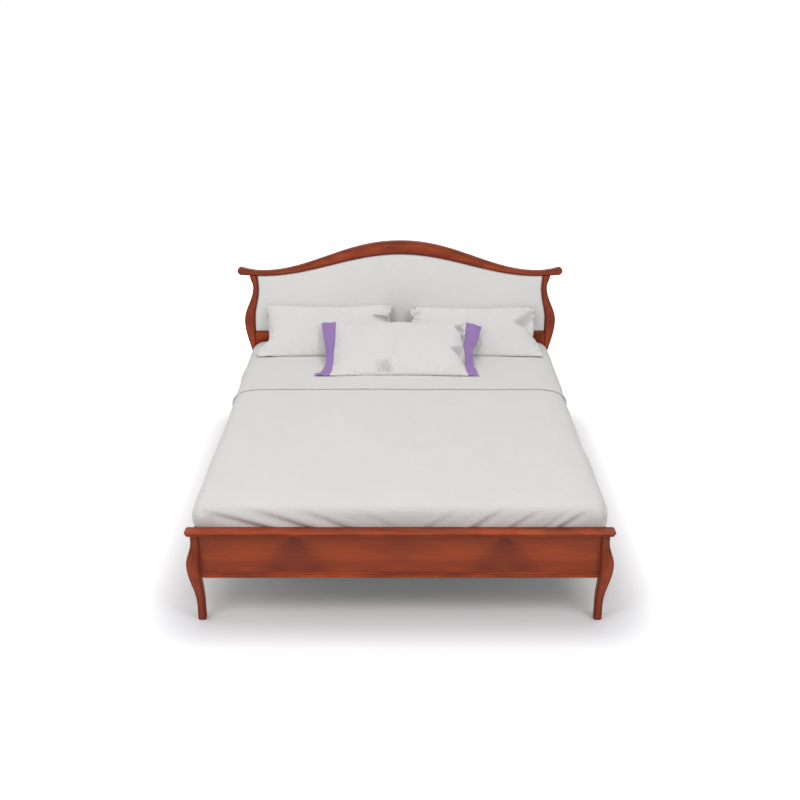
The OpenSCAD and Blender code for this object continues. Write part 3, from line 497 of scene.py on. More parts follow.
def add_bump(tree, shader, height, depth, strength=1.0):
    bump = add(tree, "ShaderNodeBump", {"Height": height, "Distance": depth, "Strength": strength})
    tree.links.new(bump.outputs[0], shader.inputs["Normal"])


GRAIN_TURNS = {"x": (0, 0, 0), "y": (0, 0, math.pi / 2), "z": (0, math.pi / 2, 0)}


def red_wood(grain, veneer=False):
    """Stained and lacquered wood with its grain along x, y or z."""
    name = "veneered_panel" if veneer else "red_wood_" + grain
    if name in FINISHES:
        return FINISHES[name]
    colours = bpy.context.scene.bed_finishes
    material, tree, shader, coordinates = new_material(name)
    point = coordinates.outputs["Object"]
    if grain == "z":
        # Both legs and both posts show the same figure, mirrored
        parts = add(tree, "ShaderNodeSeparateXYZ", {0: point})
        mirrored = calc(tree, "MULTIPLY", calc(tree, "ABSOLUTE", parts.outputs[0]), -1.0)
        point = add(tree, "ShaderNodeCombineXYZ", {
            0: mirrored, 1: parts.outputs[1], 2: parts.outputs[2]}).outputs[0]
    turned = add(tree, "ShaderNodeMapping", {"Vector": point, "Rotation": GRAIN_TURNS[grain]}).outputs[0]
    if veneer:
        leaves = use_group(tree, group("Book Matched Veneer"), point=coordinates.outputs["Object"])
        turned = leaves.outputs["Folded Point"]
    figure = use_group(tree, group("Wood Figure"), along_grain=turned, figure_size=0.8 if veneer else 1.0)
    tone = figure.outputs["Tone"]
    if veneer:
        tone = calc(tree, "SUBTRACT", calc(tree, "MULTIPLY_ADD", tone, 0.55, 0.48), leaves.outputs["Shade"],
                    clamp=True)
    depth = 1.0 if veneer else 1.13
    stain = mix_colours(tree, tone, rgba(colours.wood_dark, depth), rgba(colours.wood_light, depth))
    # Darker along the rounded edges, by an uneven amount; in the cap's groove and underside, under the rail's
    # bead and along the back of the cap's top this darkening is painted shade
    edge = add(tree, "ShaderNodeAttribute", attribute_name="edge_tone").outputs["Fac"]
    edge_patchiness = noise(tree, stretched(tree, coordinates.outputs["Object"], (14.0, 14.0, 14.0)), 3.0)
    dark = calc(tree, "MULTIPLY", edge, between(tree, edge_patchiness, 0.2, 0.7, 0.5, 0.85))
    shaded = mix_colours(tree, dark, stain, rgba(colours.wood_dark, 0.5))
    spotted = mix_colours(tree, calc(tree, "MULTIPLY", figure.outputs["Pores"], 0.35), shaded,
                          rgba(colours.wood_dark, 0.45))
    tree.links.new(spotted, shader.inputs["Base Color"])
    tree.links.new(calc(tree, "MULTIPLY_ADD", figure.outputs["Relief"], 0.08, 0.40),
                   shader.inputs["Roughness"])
    shader.inputs["Specular IOR Level"].default_value = 0.16
    shader.inputs["Coat Weight"].default_value = 0.07
    shader.inputs["Coat Roughness"].default_value = 0.22
    add_bump(tree, shader, figure.outputs["Relief"], 0.00012)
    FINISHES[name] = material
    return material


def pale_wood(grain):
    """Planed, unfinished wood with its grain along x, y or z."""
    name = "pale_wood_" + grain
    if name in FINISHES:
        return FINISHES[name]
    colours = bpy.context.scene.bed_finishes
    material, tree, shader, coordinates = new_material(name)
    turned = add(tree, "ShaderNodeMapping", {"Vector": coordinates.outputs["Object"],
                                             "Rotation": GRAIN_TURNS[grain]}).outputs[0]
    figure = use_group(tree, group("Wood Figure"), along_grain=turned, figure_size=1.3)
    board = add(tree, "ShaderNodeAttribute", attribute_name="board_tone").outputs["Fac"]
    tone = calc(tree, "ADD", figure.outputs["Tone"], calc(tree, "MULTIPLY", board, 0.5), clamp=True)
    plain = mix_colours(tree, tone, rgba(colours.pale_wood, 0.72), rgba(colours.pale_wood, 1.12))
    spotted = mix_colours(tree, calc(tree, "MULTIPLY", figure.outputs["Pores"], 0.25), plain,
                          rgba(colours.pale_wood, 0.4))
    tree.links.new(spotted, shader.inputs["Base Color"])
    tree.links.new(calc(tree, "MULTIPLY_ADD", figure.outputs["Relief"], 0.1, 0.62),
                   shader.inputs["Roughness"])
    add_bump(tree, shader, figure.outputs["Relief"], 0.0002)
    FINISHES[name] = material
    return material


def cloth(name, colour, threads=1100.0, depth=0.0002, creases=0.0015, crease_size=1.0, hem=None):
    """Woven cotton or linen over the piece's own flat coordinates, with a hem of another colour if given."""
    if name in FINISHES:
        return FINISHES[name]
    material, tree, shader, coordinates = new_material(name)
    flat = add(tree, "ShaderNodeUVMap", uv_map="cloth").outputs[0]
    weave = use_group(tree, group("Plain Weave"), flat=flat, threads=threads)
    soft = use_group(tree, group("Soft Creases"), point=coordinates.outputs["Object"], size=crease_size)
    yarn = mix_colours(tree, weave.outputs["Tone"], rgba(colour, 0.955), rgba(colour, 1.02))
    # Painted shade: the colour is a little darker in the soft hollows of the crease bump
    shaded = mix_colours(tree, between(tree, soft.outputs["Shade"], 0.3, 0.7), rgba(colour, 0.97), yarn)
    if hem is not None:
        edge = add(tree, "ShaderNodeAttribute", attribute_name="edge_tone").outputs["Fac"]
        shaded = mix_colours(tree, edge, shaded, rgba(hem))
    tree.links.new(shaded, shader.inputs["Base Color"])
    tree.links.new(calc(tree, "MULTIPLY_ADD", weave.outputs["Tone"], 0.08, 0.82),
                   shader.inputs["Roughness"])
    shader.inputs["Sheen Weight"].default_value = 0.15
    shader.inputs["Sheen Roughness"].default_value = 0.5
    shader.inputs["Specular IOR Level"].default_value = 0.25
    fine = add(tree, "ShaderNodeBump", {"Height": weave.outputs["Height"], "Distance": depth,
                                        "Strength": 0.5})
    broad = add(tree, "ShaderNodeBump", {"Height": soft.outputs["Height"], "Distance": creases,
                                         "Strength": 1.0, "Normal": fine.outputs[0]})
    tree.links.new(broad.outputs[0], shader.inputs["Normal"])
    FINISHES[name] = material
    return material


def ticking():
    """Mattress ticking: an off-white twill with thin woven stripes."""
    if "ticking" in FINISHES:
        return FINISHES["ticking"]
    material, tree, shader, _ = new_material("ticking")
    flat = add(tree, "ShaderNodeUVMap", uv_map="cloth").outputs[0]
    weave = use_group(tree, group("Plain Weave"), flat=flat, threads=700.0)
    parts = add(tree, "ShaderNodeSeparateXYZ", {0: flat})
    place_in = calc(tree, "ABSOLUTE", calc(tree, "SUBTRACT", calc(
        tree, "FRACT", calc(tree, "MULTIPLY", parts.outputs[0], 22.0)), 0.5))
    stripe = calc(tree, "MULTIPLY", between(tree, place_in, 0.09, 0.06), 0.6)
    plain = mix_colours(tree, weave.outputs["Tone"], (0.70, 0.69, 0.65, 1), (0.78, 0.77, 0.73, 1))
    striped = mix_colours(tree, stripe, plain, (0.42, 0.45, 0.50, 1))
    tree.links.new(striped, shader.inputs["Base Color"])
    tree.links.new(calc(tree, "MULTIPLY_ADD", weave.outputs["Tone"], 0.1, 0.75), shader.inputs["Roughness"])
    add_bump(tree, shader, weave.outputs["Height"], 0.0004, 0.7)
    FINISHES["ticking"] = material
    return material


def plated_steel():
    """Zinc-plated steel with a faint spangle and rubbed places."""
    if "plated_steel" in FINISHES:
        return FINISHES["plated_steel"]
    colour = bpy.context.scene.bed_finishes.steel
    material, tree, shader, coordinates = new_material("plated_steel")
    point = coordinates.outputs["Object"]
    spangle = noise(tree, stretched(tree, point, (160.0, 160.0, 160.0)), 2.0)
    rubbed = noise(tree, stretched(tree, point, (22.0, 22.0, 22.0)), 4.0, 0.6)
    tone = mix_colours(tree, between(tree, spangle, 0.35, 0.65), rgba(colour, 0.82), rgba(colour, 1.05))
    tree.links.new(tone, shader.inputs["Base Color"])
    tree.links.new(between(tree, rubbed, 0.35, 0.7, 0.32, 0.52), shader.inputs["Roughness"])
    shader.inputs["Metallic"].default_value = 1.0
    add_bump(tree, shader, spangle, 0.00006)
    FINISHES["plated_steel"] = material
    return material


def moulded_plastic():
    """Dark moulded plastic with a fine moulded grain."""
    if "moulded_plastic" in FINISHES:
        return FINISHES["moulded_plastic"]
    colour = bpy.context.scene.bed_finishes.plastic
    material, tree, shader, coordinates = new_material("moulded_plastic")
    point = coordinates.outputs["Object"]
    grain = noise(tree, stretched(tree, point, (900.0, 900.0, 900.0)), 2.0)
    scuff = noise(tree, stretched(tree, point, (40.0, 40.0, 40.0)), 4.0, 0.65)
    tone = mix_colours(tree, between(tree, scuff, 0.5, 0.75), rgba(colour), rgba(colour, 2.2))
    tree.links.new(tone, shader.inputs["Base Color"])
    tree.links.new(between(tree, scuff, 0.3, 0.7, 0.45, 0.62), shader.inputs["Roughness"])
    add_bump(tree, shader, grain, 0.00008)
    FINISHES["moulded_plastic"] = material
    return material


def finish_node(name, material):
    """Gives a carried-over CAD node its material."""
    node = NODES[name]
    if not node.material_slots:
        node.data.materials.append(material)
    for slot in node.material_slots:
        slot.material = material


# Wooden pieces

def corner_post(name, sx, sy, heights, inner, outer, rear, radius, material):
    """A leg or a post as rounded sections up its height. In a section +x and +y point out of the bed."""
    rings, tones = [], []
    for z in heights:
        low = (inner(z), leg_inner(z))
        high = (reach(outer, z), reach(rear, z))
        near_floor = max(0.0, 1 - (z - heights[0]) / (2.5 * MM)) * 2 * MM
        low = (low[0] + near_floor, low[1] + near_floor)
        high = (high[0] - near_floor, high[1] - near_floor)
        ring, tone = rounded_ring(low, high, radius, 5)
        rings.append([(sx * (LEG_X + x), sy * (END_Y + y), z) for x, y in ring])
        tones.append(tone)
    points, faces = loft(rings)
    return new_piece(name, points, faces, material, 50, tones)


def post_inner(z):
    return reach(POST_INNER, z) if z > RAIL_TOP_Z else leg_inner(z)


def heights_to(top, count):
    return [GLIDE_Z, GLIDE_Z + 1 * MM, GLIDE_Z + 2.6 * MM] + list(np.linspace(GLIDE_Z + 8 * MM, top, count))


def board(name, low, high, along, radius, material):
    """A straight board with rounded long edges, whose length runs along x or y."""
    low, high = Vector(low), Vector(high)
    if along == "x":
        ring, tone = rounded_ring((low.y, low.z), (high.y, high.z), radius, 3)
        rings = [[(x, a, b) for a, b in ring] for x in np.linspace(low.x, high.x, 9)]
    else:
        ring, tone = rounded_ring((low.x, low.z), (high.x, high.z), radius, 3)
        rings = [[(a, y, b) for a, b in ring] for y in np.linspace(low.y, high.y, 9)]
    points, faces = loft(rings)
    return new_piece(name, points, faces, material, 50, [tone] * len(rings))


def plan_outline(half_width, front_y, radius, steps=6):
    """The cap's plan: straight at the back, rounded at its two front corners."""
    points = [(-half_width, -END_Y)]
    for cx, start in ((-half_width + radius, 180), (half_width - radius, 270)):
        for k in range(steps + 1):
            a = math.radians(start + 90 * k / steps)
            points.append((cx + radius * math.cos(a), front_y + radius + radius * math.sin(a)))
    points.append((half_width, -END_Y))
    return points


class BED_OT_crest_rail(bpy.types.Operator):
    """Carve the arched crest rail with its rounded, turned-up ends"""
    bl_idname = "bed.crest_rail"
    bl_label = "Crest Rail"

    def execute(self, context):
        radius = context.scene.bed_sizes.crest_radius
        end_x, end_r, end_z = 896 * MM, 22 * MM, 933 * MM
        stations = [(x, crest_under(x), crest_top(x), 0.0) for x in np.linspace(0, end_x, 90)]
        for turn in np.radians([10, 20, 30, 40, 50, 60, 68, 76, 82]):
            half = end_r * math.cos(turn)
            stations.append((end_x + end_r * math.sin(turn), end_z - half, end_z + half,
                             9 * MM * (1 - math.cos(turn))))
        stations = [(-x, low, high, inset) for x, low, high, inset in stations[:0:-1]] + stations
        rings, tones = [], []
        for x, low, high, inset in stations:
            ring, tone = rounded_ring((END_Y + inset, low), (CREST_BACK_Y - inset, high), radius, 6)
            rings.append([(x, y, z) for y, z in ring])
            tones.append(tone)
        points, faces = loft(rings)
        piece = new_piece("crest", points, faces, red_wood("x"), 60, tones)
        place(piece, "frame", "red_wood", "crest_rail")
        return {"FINISHED"}


class BED_OT_legs_and_posts(bpy.types.Operator):
    """Shape the two cabriole legs and the two serpentine posts"""
    bl_idname = "bed.legs_and_posts"
    bl_label = "Legs and Posts"

    def execute(self, context):
        radius = context.scene.bed_sizes.edge_radius
        for side, sx in (("left", -1), ("right", 1)):
            leg = corner_post(side + "_cabriole_leg", sx, -1, heights_to(LEG_TOP_Z, 60), leg_inner,
                              LEG_OUTER, LEG_OUTER, radius, red_wood("z"))
            place(leg, "frame", "red_wood", side + "_leg")
            post = corner_post(side + "_headboard_post", sx, 1, heights_to(POST_TOP_Z, 120), post_inner,
                               POST_OUTER, POST_REAR, radius, red_wood("z"))
            place(post, "frame", "red_wood", side + "_post")
        return {"FINISHED"}


class BED_OT_footboard(bpy.types.Operator):
    """Shape the footboard's rounded cap and beaded rail, and veneer its panel"""
    bl_idname = "bed.footboard"
    bl_label = "Footboard"

    def execute(self, context):
        # Height above the leg's top and distance in from the cap's faces, in millimetres, and edge tone,
        # which is painted shade on the cap's underside and in its groove
        moulding = (
            (0.0, 8.0, 1), (0.6, 6.3, 1), (2.0, 5.0, 0.3), (4.0, 4.8, 0), (5.6, 5.4, 0.4), (6.6, 7.4, 1),
            (7.0, 9.0, 1), (7.1, 8.0, 1), (7.5, 5.2, 0.8), (8.6, 3.0, 0.2), (10.4, 1.1, 0), (12.4, 0.2, 0),
            (14.0, 0.0, 0), (15.8, 0.3, 0), (17.6, 1.3, 0), (19.4, 3.0, 0), (20.8, 5.4, 0),
            (21.6, 8.0, 0), (21.9, 11.0, 0), (22.0, 16.0, 0),
        )
        rings, tones = [], []
        for up, back, tone in moulding:
            outline = plan_outline(CAP_X - back * MM, CAP_FRONT_Y + back * MM, (14 - 0.4 * back) * MM)
            rings.append([(x, y, LEG_TOP_Z + up * MM) for x, y in outline])
            # Painted shadow along the back of the cap's top, next to the duvet
            back_painted_shadow = 0.9 if up > 19 else 0.0
            tones.append([back_painted_shadow if y > CAP_FRONT_Y + 25 * MM else tone for _, y in outline])
        points, faces = loft(rings)
        cap = new_piece("cap_moulding", points, faces, red_wood("x"), 50, tones)
        place(cap, "frame", "red_wood", "footboard_cap")

        top = PANEL_LOW_Z
        centre_y, centre_z, bead = BEAD_FRONT_Y + 4 * MM, top - 4 * MM, 4 * MM
        # The third number of each point is its edge tone: painted shade under the bead and in the corner
        # where the rail meets the panel
        profile = [(-END_Y, RAIL_LOW_Z, 0), (BEAD_FRONT_Y + 2 * MM, RAIL_LOW_Z, 0),
                   (BEAD_FRONT_Y + 0.5 * MM, RAIL_LOW_Z + 0.5 * MM, 0),
                   (BEAD_FRONT_Y, RAIL_LOW_Z + 2 * MM, 0), (BEAD_FRONT_Y, centre_z - 5.2 * MM, 0),
                   (BEAD_FRONT_Y + 0.6 * MM, centre_z - 4.4 * MM, 0.8),
                   (BEAD_FRONT_Y + 1.8 * MM, centre_z - 3.9 * MM, 1)]
        for a in np.radians(np.linspace(238, 92, 10)):
            profile.append((centre_y + bead * math.cos(a), centre_z + bead * math.sin(a), 0))
        profile += [(PANEL_FRONT_Y, top, 1), (-END_Y, top, 0)]
        rings = [[(x, y, z) for y, z, _ in profile] for x in np.linspace(-LEG_X, LEG_X, 17)]
        points, faces = loft(rings)
        rail = new_piece("beaded_rail", points, faces, red_wood("x"), 50, [[p[2] for p in profile]] * 17)
        place(rail, "frame", "red_wood", "footboard_bead_rail")
        finish_node("footboard_panel", red_wood("x", veneer=True))
        return {"FINISHED"}


class BED_OT_rails(bpy.types.Operator):
    """Shape the side rails and the headboard's lower rail, and finish the ledges and the hidden rail"""
    bl_idname = "bed.rails"
    bl_label = "Rails and Ledges"

    def execute(self, context):
        radius = context.scene.bed_sizes.board_radius
        for side in ("left", "right"):
            low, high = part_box(side + "_side_rail")
            rail = board(side + "_long_rail", low, high, "y", radius, red_wood("y"))
            place(rail, "frame", "red_wood", side + "_side_rail")
            finish_node(side + "_ledge", pale_wood("y"))
        low, high = LOWER_RAIL
        rail = board("lower_rail", low, high, "x", radius, red_wood("x"))
        place(rail, "frame", "red_wood", "headboard_lower_rail")
        finish_node("headboard_bottom_rail", red_wood("x"))
        finish_node("centre_beam", pale_wood("y"))
        return {"FINISHED"}


# Headboard upholstery

def pad_half_width(z):
    return LEG_X + post_inner(min(z, POST_TOP_Z)) - 0.8 * MM


def close_rows(count, gather):
    """Shares from 0 to 1 that lie closer together near both ends."""
    even = np.linspace(0, 1, count)
    return even - gather * np.sin(2 * np.pi * even) / (2 * np.pi)


def pad_grid(columns, rows):
    """Points over the headboard's field, with their distance to its edge."""
    low_z = LOWER_RAIL[1].z + 0.5 * MM
    points, edges = [], []
    for s in 2 * close_rows(columns, 0.9) - 1:
        top_z = crest_under(s * pad_half_width(POST_TOP_Z)) - 0.8 * MM
        for t in close_rows(rows, 0.9):
            z = low_z + t * (top_z - low_z)
            half = pad_half_width(z)
            points.append((s * half, z))
            edges.append(min(half - abs(s * half), z - low_z, top_z - z))
    return np.array(points), np.array(edges)


def grid_faces(columns, rows, start=0):
    return [
        (k, k + rows, k + rows + 1, k + 1)
        for i in range(columns - 1) for k in range(start + i * rows, start + (i + 1) * rows - 1)
    ]


def grid_rim(columns, rows):
    """Indices round the edge of a grid, in order."""
    return ([i * rows for i in range(columns)] + [(columns - 1) * rows + j for j in range(1, rows)]
            + [i * rows + rows - 1 for i in range(columns - 2, -1, -1)] + [j for j in range(rows - 2, 0, -1)])


def two_sided(columns, rows, front, back):
    """A closed form from a front grid, a back grid and a strip between their rims."""
    count = columns * rows
    rim = grid_rim(columns, rows)
    faces = grid_faces(columns, rows) + [tuple(reversed(f)) for f in grid_faces(columns, rows, count)]
    for k, a in enumerate(rim):
        b = rim[(k + 1) % len(rim)]
        faces.append((b, a, a + count, b + count))
    return np.vstack([front, back]), faces


class BED_OT_headboard_upholstery(bpy.types.Operator):
    """Stretch the padded cloth over the headboard, and the thin lining behind it"""
    bl_idname = "bed.headboard_upholstery"
    bl_label = "Headboard Upholstery"

    def execute(self, context):
        sizes, colours = context.scene.bed_sizes, context.scene.bed_finishes
        roll, columns, rows = sizes.headboard_roll, 150, 60
        field, edge = pad_grid(columns, rows)
        x, z = field[:, 0], field[:, 1]
        near = np.clip(1 - edge / (1.9 * roll), 0, 1)
        back = roll * (1 - np.sqrt(np.clip(1 - near ** 2, 0, 1)))
        crown = 2.2 * MM * ease(edge / 0.16) + 0.5 * MM * ripple(x, z, 0.35, 4) * ease(edge / 0.05)
        front = np.column_stack([x, PAD_FRONT_Y + 1.0 * MM + back - crown, z])
        rear = np.column_stack([x, np.full(len(x), PAD_BACK_Y), z])
        points, faces = two_sided(columns, rows, front, rear)
        material = cloth("headboard_cloth", colours.headboard, 1000.0, 0.0003, 0.0015)
        pad = new_piece("headboard_pad", points, faces, material, 0, flat=np.vstack([field, field]))
        place(pad, "frame", "headboard_cloth", "headboard_cover", "headboard_foam")

        columns, rows = 70, 30
        field, edge = pad_grid(columns, rows)
        x, z = field[:, 0], field[:, 1]
        wave = 0.6 * MM * ripple(x, z, 0.25, 9) * ease(edge / 0.04)
        front = np.column_stack([x, REAR_CLOTH[0].y + 0.8 * MM + wave, z])
        rear = front + np.array([0, 0.7 * MM, 0])
        points, faces = two_sided(columns, rows, front, rear)
        material = cloth("lining_cloth", (0.55, 0.54, 0.51), 600.0, 0.0004, 0.001)
        lining = new_piece("headboard_lining", points, faces, material, 0, flat=np.vstack([field, field]))
        place(lining, "frame", "lining", "headboard_rear_cover")
        finish_node("headboard_backboard", pale_wood("x"))
        return {"FINISHED"}


# Slats and fasteners

def geometry_tree(name, inputs):
    tree = bpy.data.node_groups.new(name, "GeometryNodeTree")
    tree.interface.new_socket(name="Geometry", in_out="INPUT", socket_type="NodeSocketGeometry")
    for label, kind in inputs:
        tree.interface.new_socket(name=label, in_out="INPUT", socket_type=kind)
    tree.interface.new_socket(name="Geometry", in_out="OUTPUT", socket_type="NodeSocketGeometry")
    return tree, tree.nodes.new("NodeGroupInput"), tree.nodes.new("NodeGroupOutput")


def run_tree(piece, tree, values):
    """Runs a node tree on a piece and leaves the plain mesh that it makes."""
    modifier = piece.modifiers.new("shape", "NODES")
    modifier.node_group = tree
    sockets = {item.name: item.identifier for item in tree.interface.items_tree if item.in_out == "INPUT"}
    for label, value in values.items():
        modifier[sockets[label]] = value
    return baked(piece)


def slat_tree():
    """Rounded boards across the bed, one at each point of a row, each with a tone of its own."""
    tree, given, made = geometry_tree("Slat Row", [
        ("Length", "NodeSocketFloat"), ("Width", "NodeSocketFloat"), ("Thickness", "NodeSocketFloat"),
        ("Edge Radius", "NodeSocketFloat"), ("Count", "NodeSocketInt"), ("First", "NodeSocketVector"),
        ("Pitch", "NodeSocketFloat"), ("Seed", "NodeSocketInt"), ("Material", "NodeSocketMaterial")])
    out = given.outputs
    section = add(tree, "GeometryNodeCurvePrimitiveQuadrilateral", {0: out["Width"], 1: out["Thickness"]})
    rounded = add(tree, "GeometryNodeFilletCurve", {
        "Curve": section.outputs[0], "Radius": out["Edge Radius"]})
    if "Count" in rounded.inputs:
        rounded.inputs["Count"].default_value = 3
    half = add(tree, "ShaderNodeMath", {0: out["Length"], 1: 0.5}, operation="MULTIPLY").outputs[0]
    minus = add(tree, "ShaderNodeMath", {0: half, 1: -1.0}, operation="MULTIPLY").outputs[0]
    start = add(tree, "ShaderNodeCombineXYZ", {0: minus}).outputs[0]
    end = add(tree, "ShaderNodeCombineXYZ", {0: half}).outputs[0]
    line = add(tree, "GeometryNodeCurvePrimitiveLine", {"Start": start, "End": end})
    boards = add(tree, "GeometryNodeCurveToMesh", {
        "Curve": line.outputs[0], "Profile Curve": rounded.outputs[0], "Fill Caps": True})
    pitch = add(tree, "ShaderNodeCombineXYZ", {1: out["Pitch"]}).outputs[0]
    row = add(tree, "GeometryNodeMeshLine", {"Count": out["Count"], "Start Location": out["First"],
                                             "Offset": pitch})
    spread = add(tree, "GeometryNodeInstanceOnPoints", {
        "Points": row.outputs[0], "Instance": boards.outputs[0]})
    tone = add(tree, "FunctionNodeRandomValue", {2: -1.0, 3: 1.0, "Seed": out["Seed"]}, data_type="FLOAT")
    kept = add(tree, "GeometryNodeStoreNamedAttribute", {
        "Geometry": spread.outputs[0], "Name": "board_tone", "Value": tone.outputs[1],
    }, data_type="FLOAT", domain="INSTANCE")
    real = add(tree, "GeometryNodeRealizeInstances", {"Geometry": kept.outputs[0]})
    finished = add(tree, "GeometryNodeSetMaterial", {
        "Geometry": real.outputs[0], "Material": out["Material"]})
    tree.links.new(finished.outputs[0], made.inputs[0])
    return tree


def fastener_tree():
    """A copy of one fastener at each point, turned along the point's direction."""
    tree, given, made = geometry_tree("Fasteners", [
        ("Fastener", "NodeSocketObject"), ("Size", "NodeSocketFloat"), ("Material", "NodeSocketMaterial")])
    pattern = add(tree, "GeometryNodeObjectInfo", {"Object": given.outputs["Fastener"]})
    heading = add(tree, "GeometryNodeInputNamedAttribute", {"Name": "heading"}, data_type="FLOAT_VECTOR")
    turn = add(tree, "FunctionNodeAlignRotationToVector", {"Vector": heading.outputs[0]}, axis="Z")
    size = add(tree, "ShaderNodeCombineXYZ", {k: given.outputs["Size"] for k in range(3)}).outputs[0]
    spread = add(tree, "GeometryNodeInstanceOnPoints", {
        "Points": given.outputs["Geometry"], "Instance": pattern.outputs["Geometry"],
        "Rotation": turn.outputs[0], "Scale": size})
    real = add(tree, "GeometryNodeRealizeInstances", {"Geometry": spread.outputs[0]})
    finished = add(tree, "GeometryNodeSetMaterial", {"Geometry": real.outputs[0],
                                                     "Material": given.outputs["Material"]})
    tree.links.new(finished.outputs[0], made.inputs[0])
    return tree


def lathe(profile, segments):
    """Rings of points round the Z axis through a profile of radius and height."""
    turns = np.linspace(0, 2 * np.pi, segments, endpoint=False)
    return [[(r * math.cos(a), r * math.sin(a), z) for a in turns] for r, z in profile]


def screw_pattern(length):
    """A countersunk screw with a cross recess and a threaded shank, along +Z from the top of its head."""
    rings = lathe([(0.05, 1.1), (0.8, 1.1), (2.1, 1.0), (2.5, 0.0), (3.7, 0.0), (4.0, 0.25), (2.0, 2.4),
                   (1.9, 8.0)], 24)
    for n, ring in enumerate(rings[1:3], 1):
        for k, (x, y, z) in enumerate(ring):
            in_cross = min(k % 6, 6 - k % 6) <= (1 if n == 2 else 3)
            rings[n][k] = (x, y, z if in_cross else 0.02)
    z = 9.0
    while z < length - 4:
        rings += lathe([(1.55, z), (2.0, z + 0.8)], 24)
        z += 1.6
    rings += lathe([(1.4, length - 3), (0.1, length)], 24)
    points, faces = loft(rings)
    return new_piece("screw_pattern", points * MM, faces, plated_steel(), 35)


def scatter(name, pattern, places, headings, material, body, slot, *nodes):
    mesh = bpy.data.meshes.new(name)
    mesh.from_pydata([tuple(p) for p in places], [], [])
    mesh.attributes.new("heading", "FLOAT_VECTOR", "POINT").data.foreach_set(
        "vector", np.asarray(headings, np.float32).ravel())
    piece = bpy.data.objects.new(name, mesh)
    bpy.context.scene.collection.objects.link(piece)
    run_tree(piece, fastener_tree(), {"Fastener": pattern, "Size": 1.0, "Material": material})
    return place(piece, body, slot, *nodes)


def loose_parts(node):
    """Centre and corners of each separate solid in a CAD node that groups like pieces."""
    merged = bmesh.new()
    merged.from_mesh(NODES[node].data)
    bmesh.ops.remove_doubles(merged, verts=merged.verts, dist=1e-5)
    seen, parts = set(), []
    for vert in merged.verts:
        if vert.index in seen:
            continue
        stack, members = [vert], []
        seen.add(vert.index)
        while stack:
            v = stack.pop()
            members.append(tuple(v.co))
            for edge in v.link_edges:
                other = edge.other_vert(v)
                if other.index not in seen:
                    seen.add(other.index)
                    stack.append(other)
        parts.append(np.array(members))
    merged.free()
    return parts


def screw_places(node):
    """Head centre and direction of each screw in a node: the head is the wide end."""
    places, headings = [], []
    for part in loose_parts(node):
        low, high = part.min(0), part.max(0)
        axis = int(np.argmax(high - low))
        others = [k for k in range(3) if k != axis]
        centre = (low + high) / 2
        width = {}
        for end, value in (("low", low[axis]), ("high", high[axis])):
            near = part[np.abs(part[:, axis] - value) < 0.2 * MM]
            width[end] = np.ptp(near[:, others[0]])
        head = "low" if width["low"] > width["high"] else "high"
        start = centre.copy()
        start[axis] = low[axis] if head == "low" else high[axis]
        heading = np.zeros(3)
        heading[axis] = 1.0 if head == "low" else -1.0
        places.append(start)
        headings.append(heading)
    return places, headings


class BED_OT_slats(bpy.types.Operator):
    """Lay the row of slats across the ledges"""
    bl_idname = "bed.slats"
    bl_label = "Slats"

    def execute(self, context):
        first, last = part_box(SLATS[0]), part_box(SLATS[-1])
        middle = (first[0] + first[1]) / 2
        pitch = ((last[0] + last[1]) / 2 - middle).y / (len(SLATS) - 1)
        size = first[1] - first[0]
        piece = bpy.data.objects.new("slat_row", bpy.data.meshes.new("slat_row"))
        context.scene.collection.objects.link(piece)
        run_tree(piece, slat_tree(), {
            "Length": size.x, "Width": size.y, "Thickness": size.z,
            "Edge Radius": context.scene.bed_sizes.board_radius, "Count": len(SLATS),
            "First": tuple(middle), "Pitch": pitch, "Seed": 5, "Material": pale_wood("x")})
        place(piece, "frame", "pale_wood", *SLATS)
        return {"FINISHED"}


class BED_OT_fasteners(bpy.types.Operator):
    """Drive the screws, and finish the dowels and the hook and slot plates"""
    bl_idname = "bed.fasteners"
    bl_label = "Fasteners"

    def execute(self, context):
        for node in ("plate_screws", "ledge_screws", "slat_screws", "hanger_screws", "centre_leg_screws"):
            places, headings = screw_places(node)
            part = loose_parts(node)[0]
            pattern = screw_pattern(float(np.ptp(part, axis=0).max()) / MM)
            scatter(node.replace("_screws", "_screw_heads"), pattern, places, headings, plated_steel(),
                    "frame", "steel", node)
            bpy.data.objects.remove(pattern)
        for node in ("hook_plates", "slot_plates"):
            finish_node(node, plated_steel())
        finish_node("frame_dowels", pale_wood("z"))
        return {"FINISHED"}


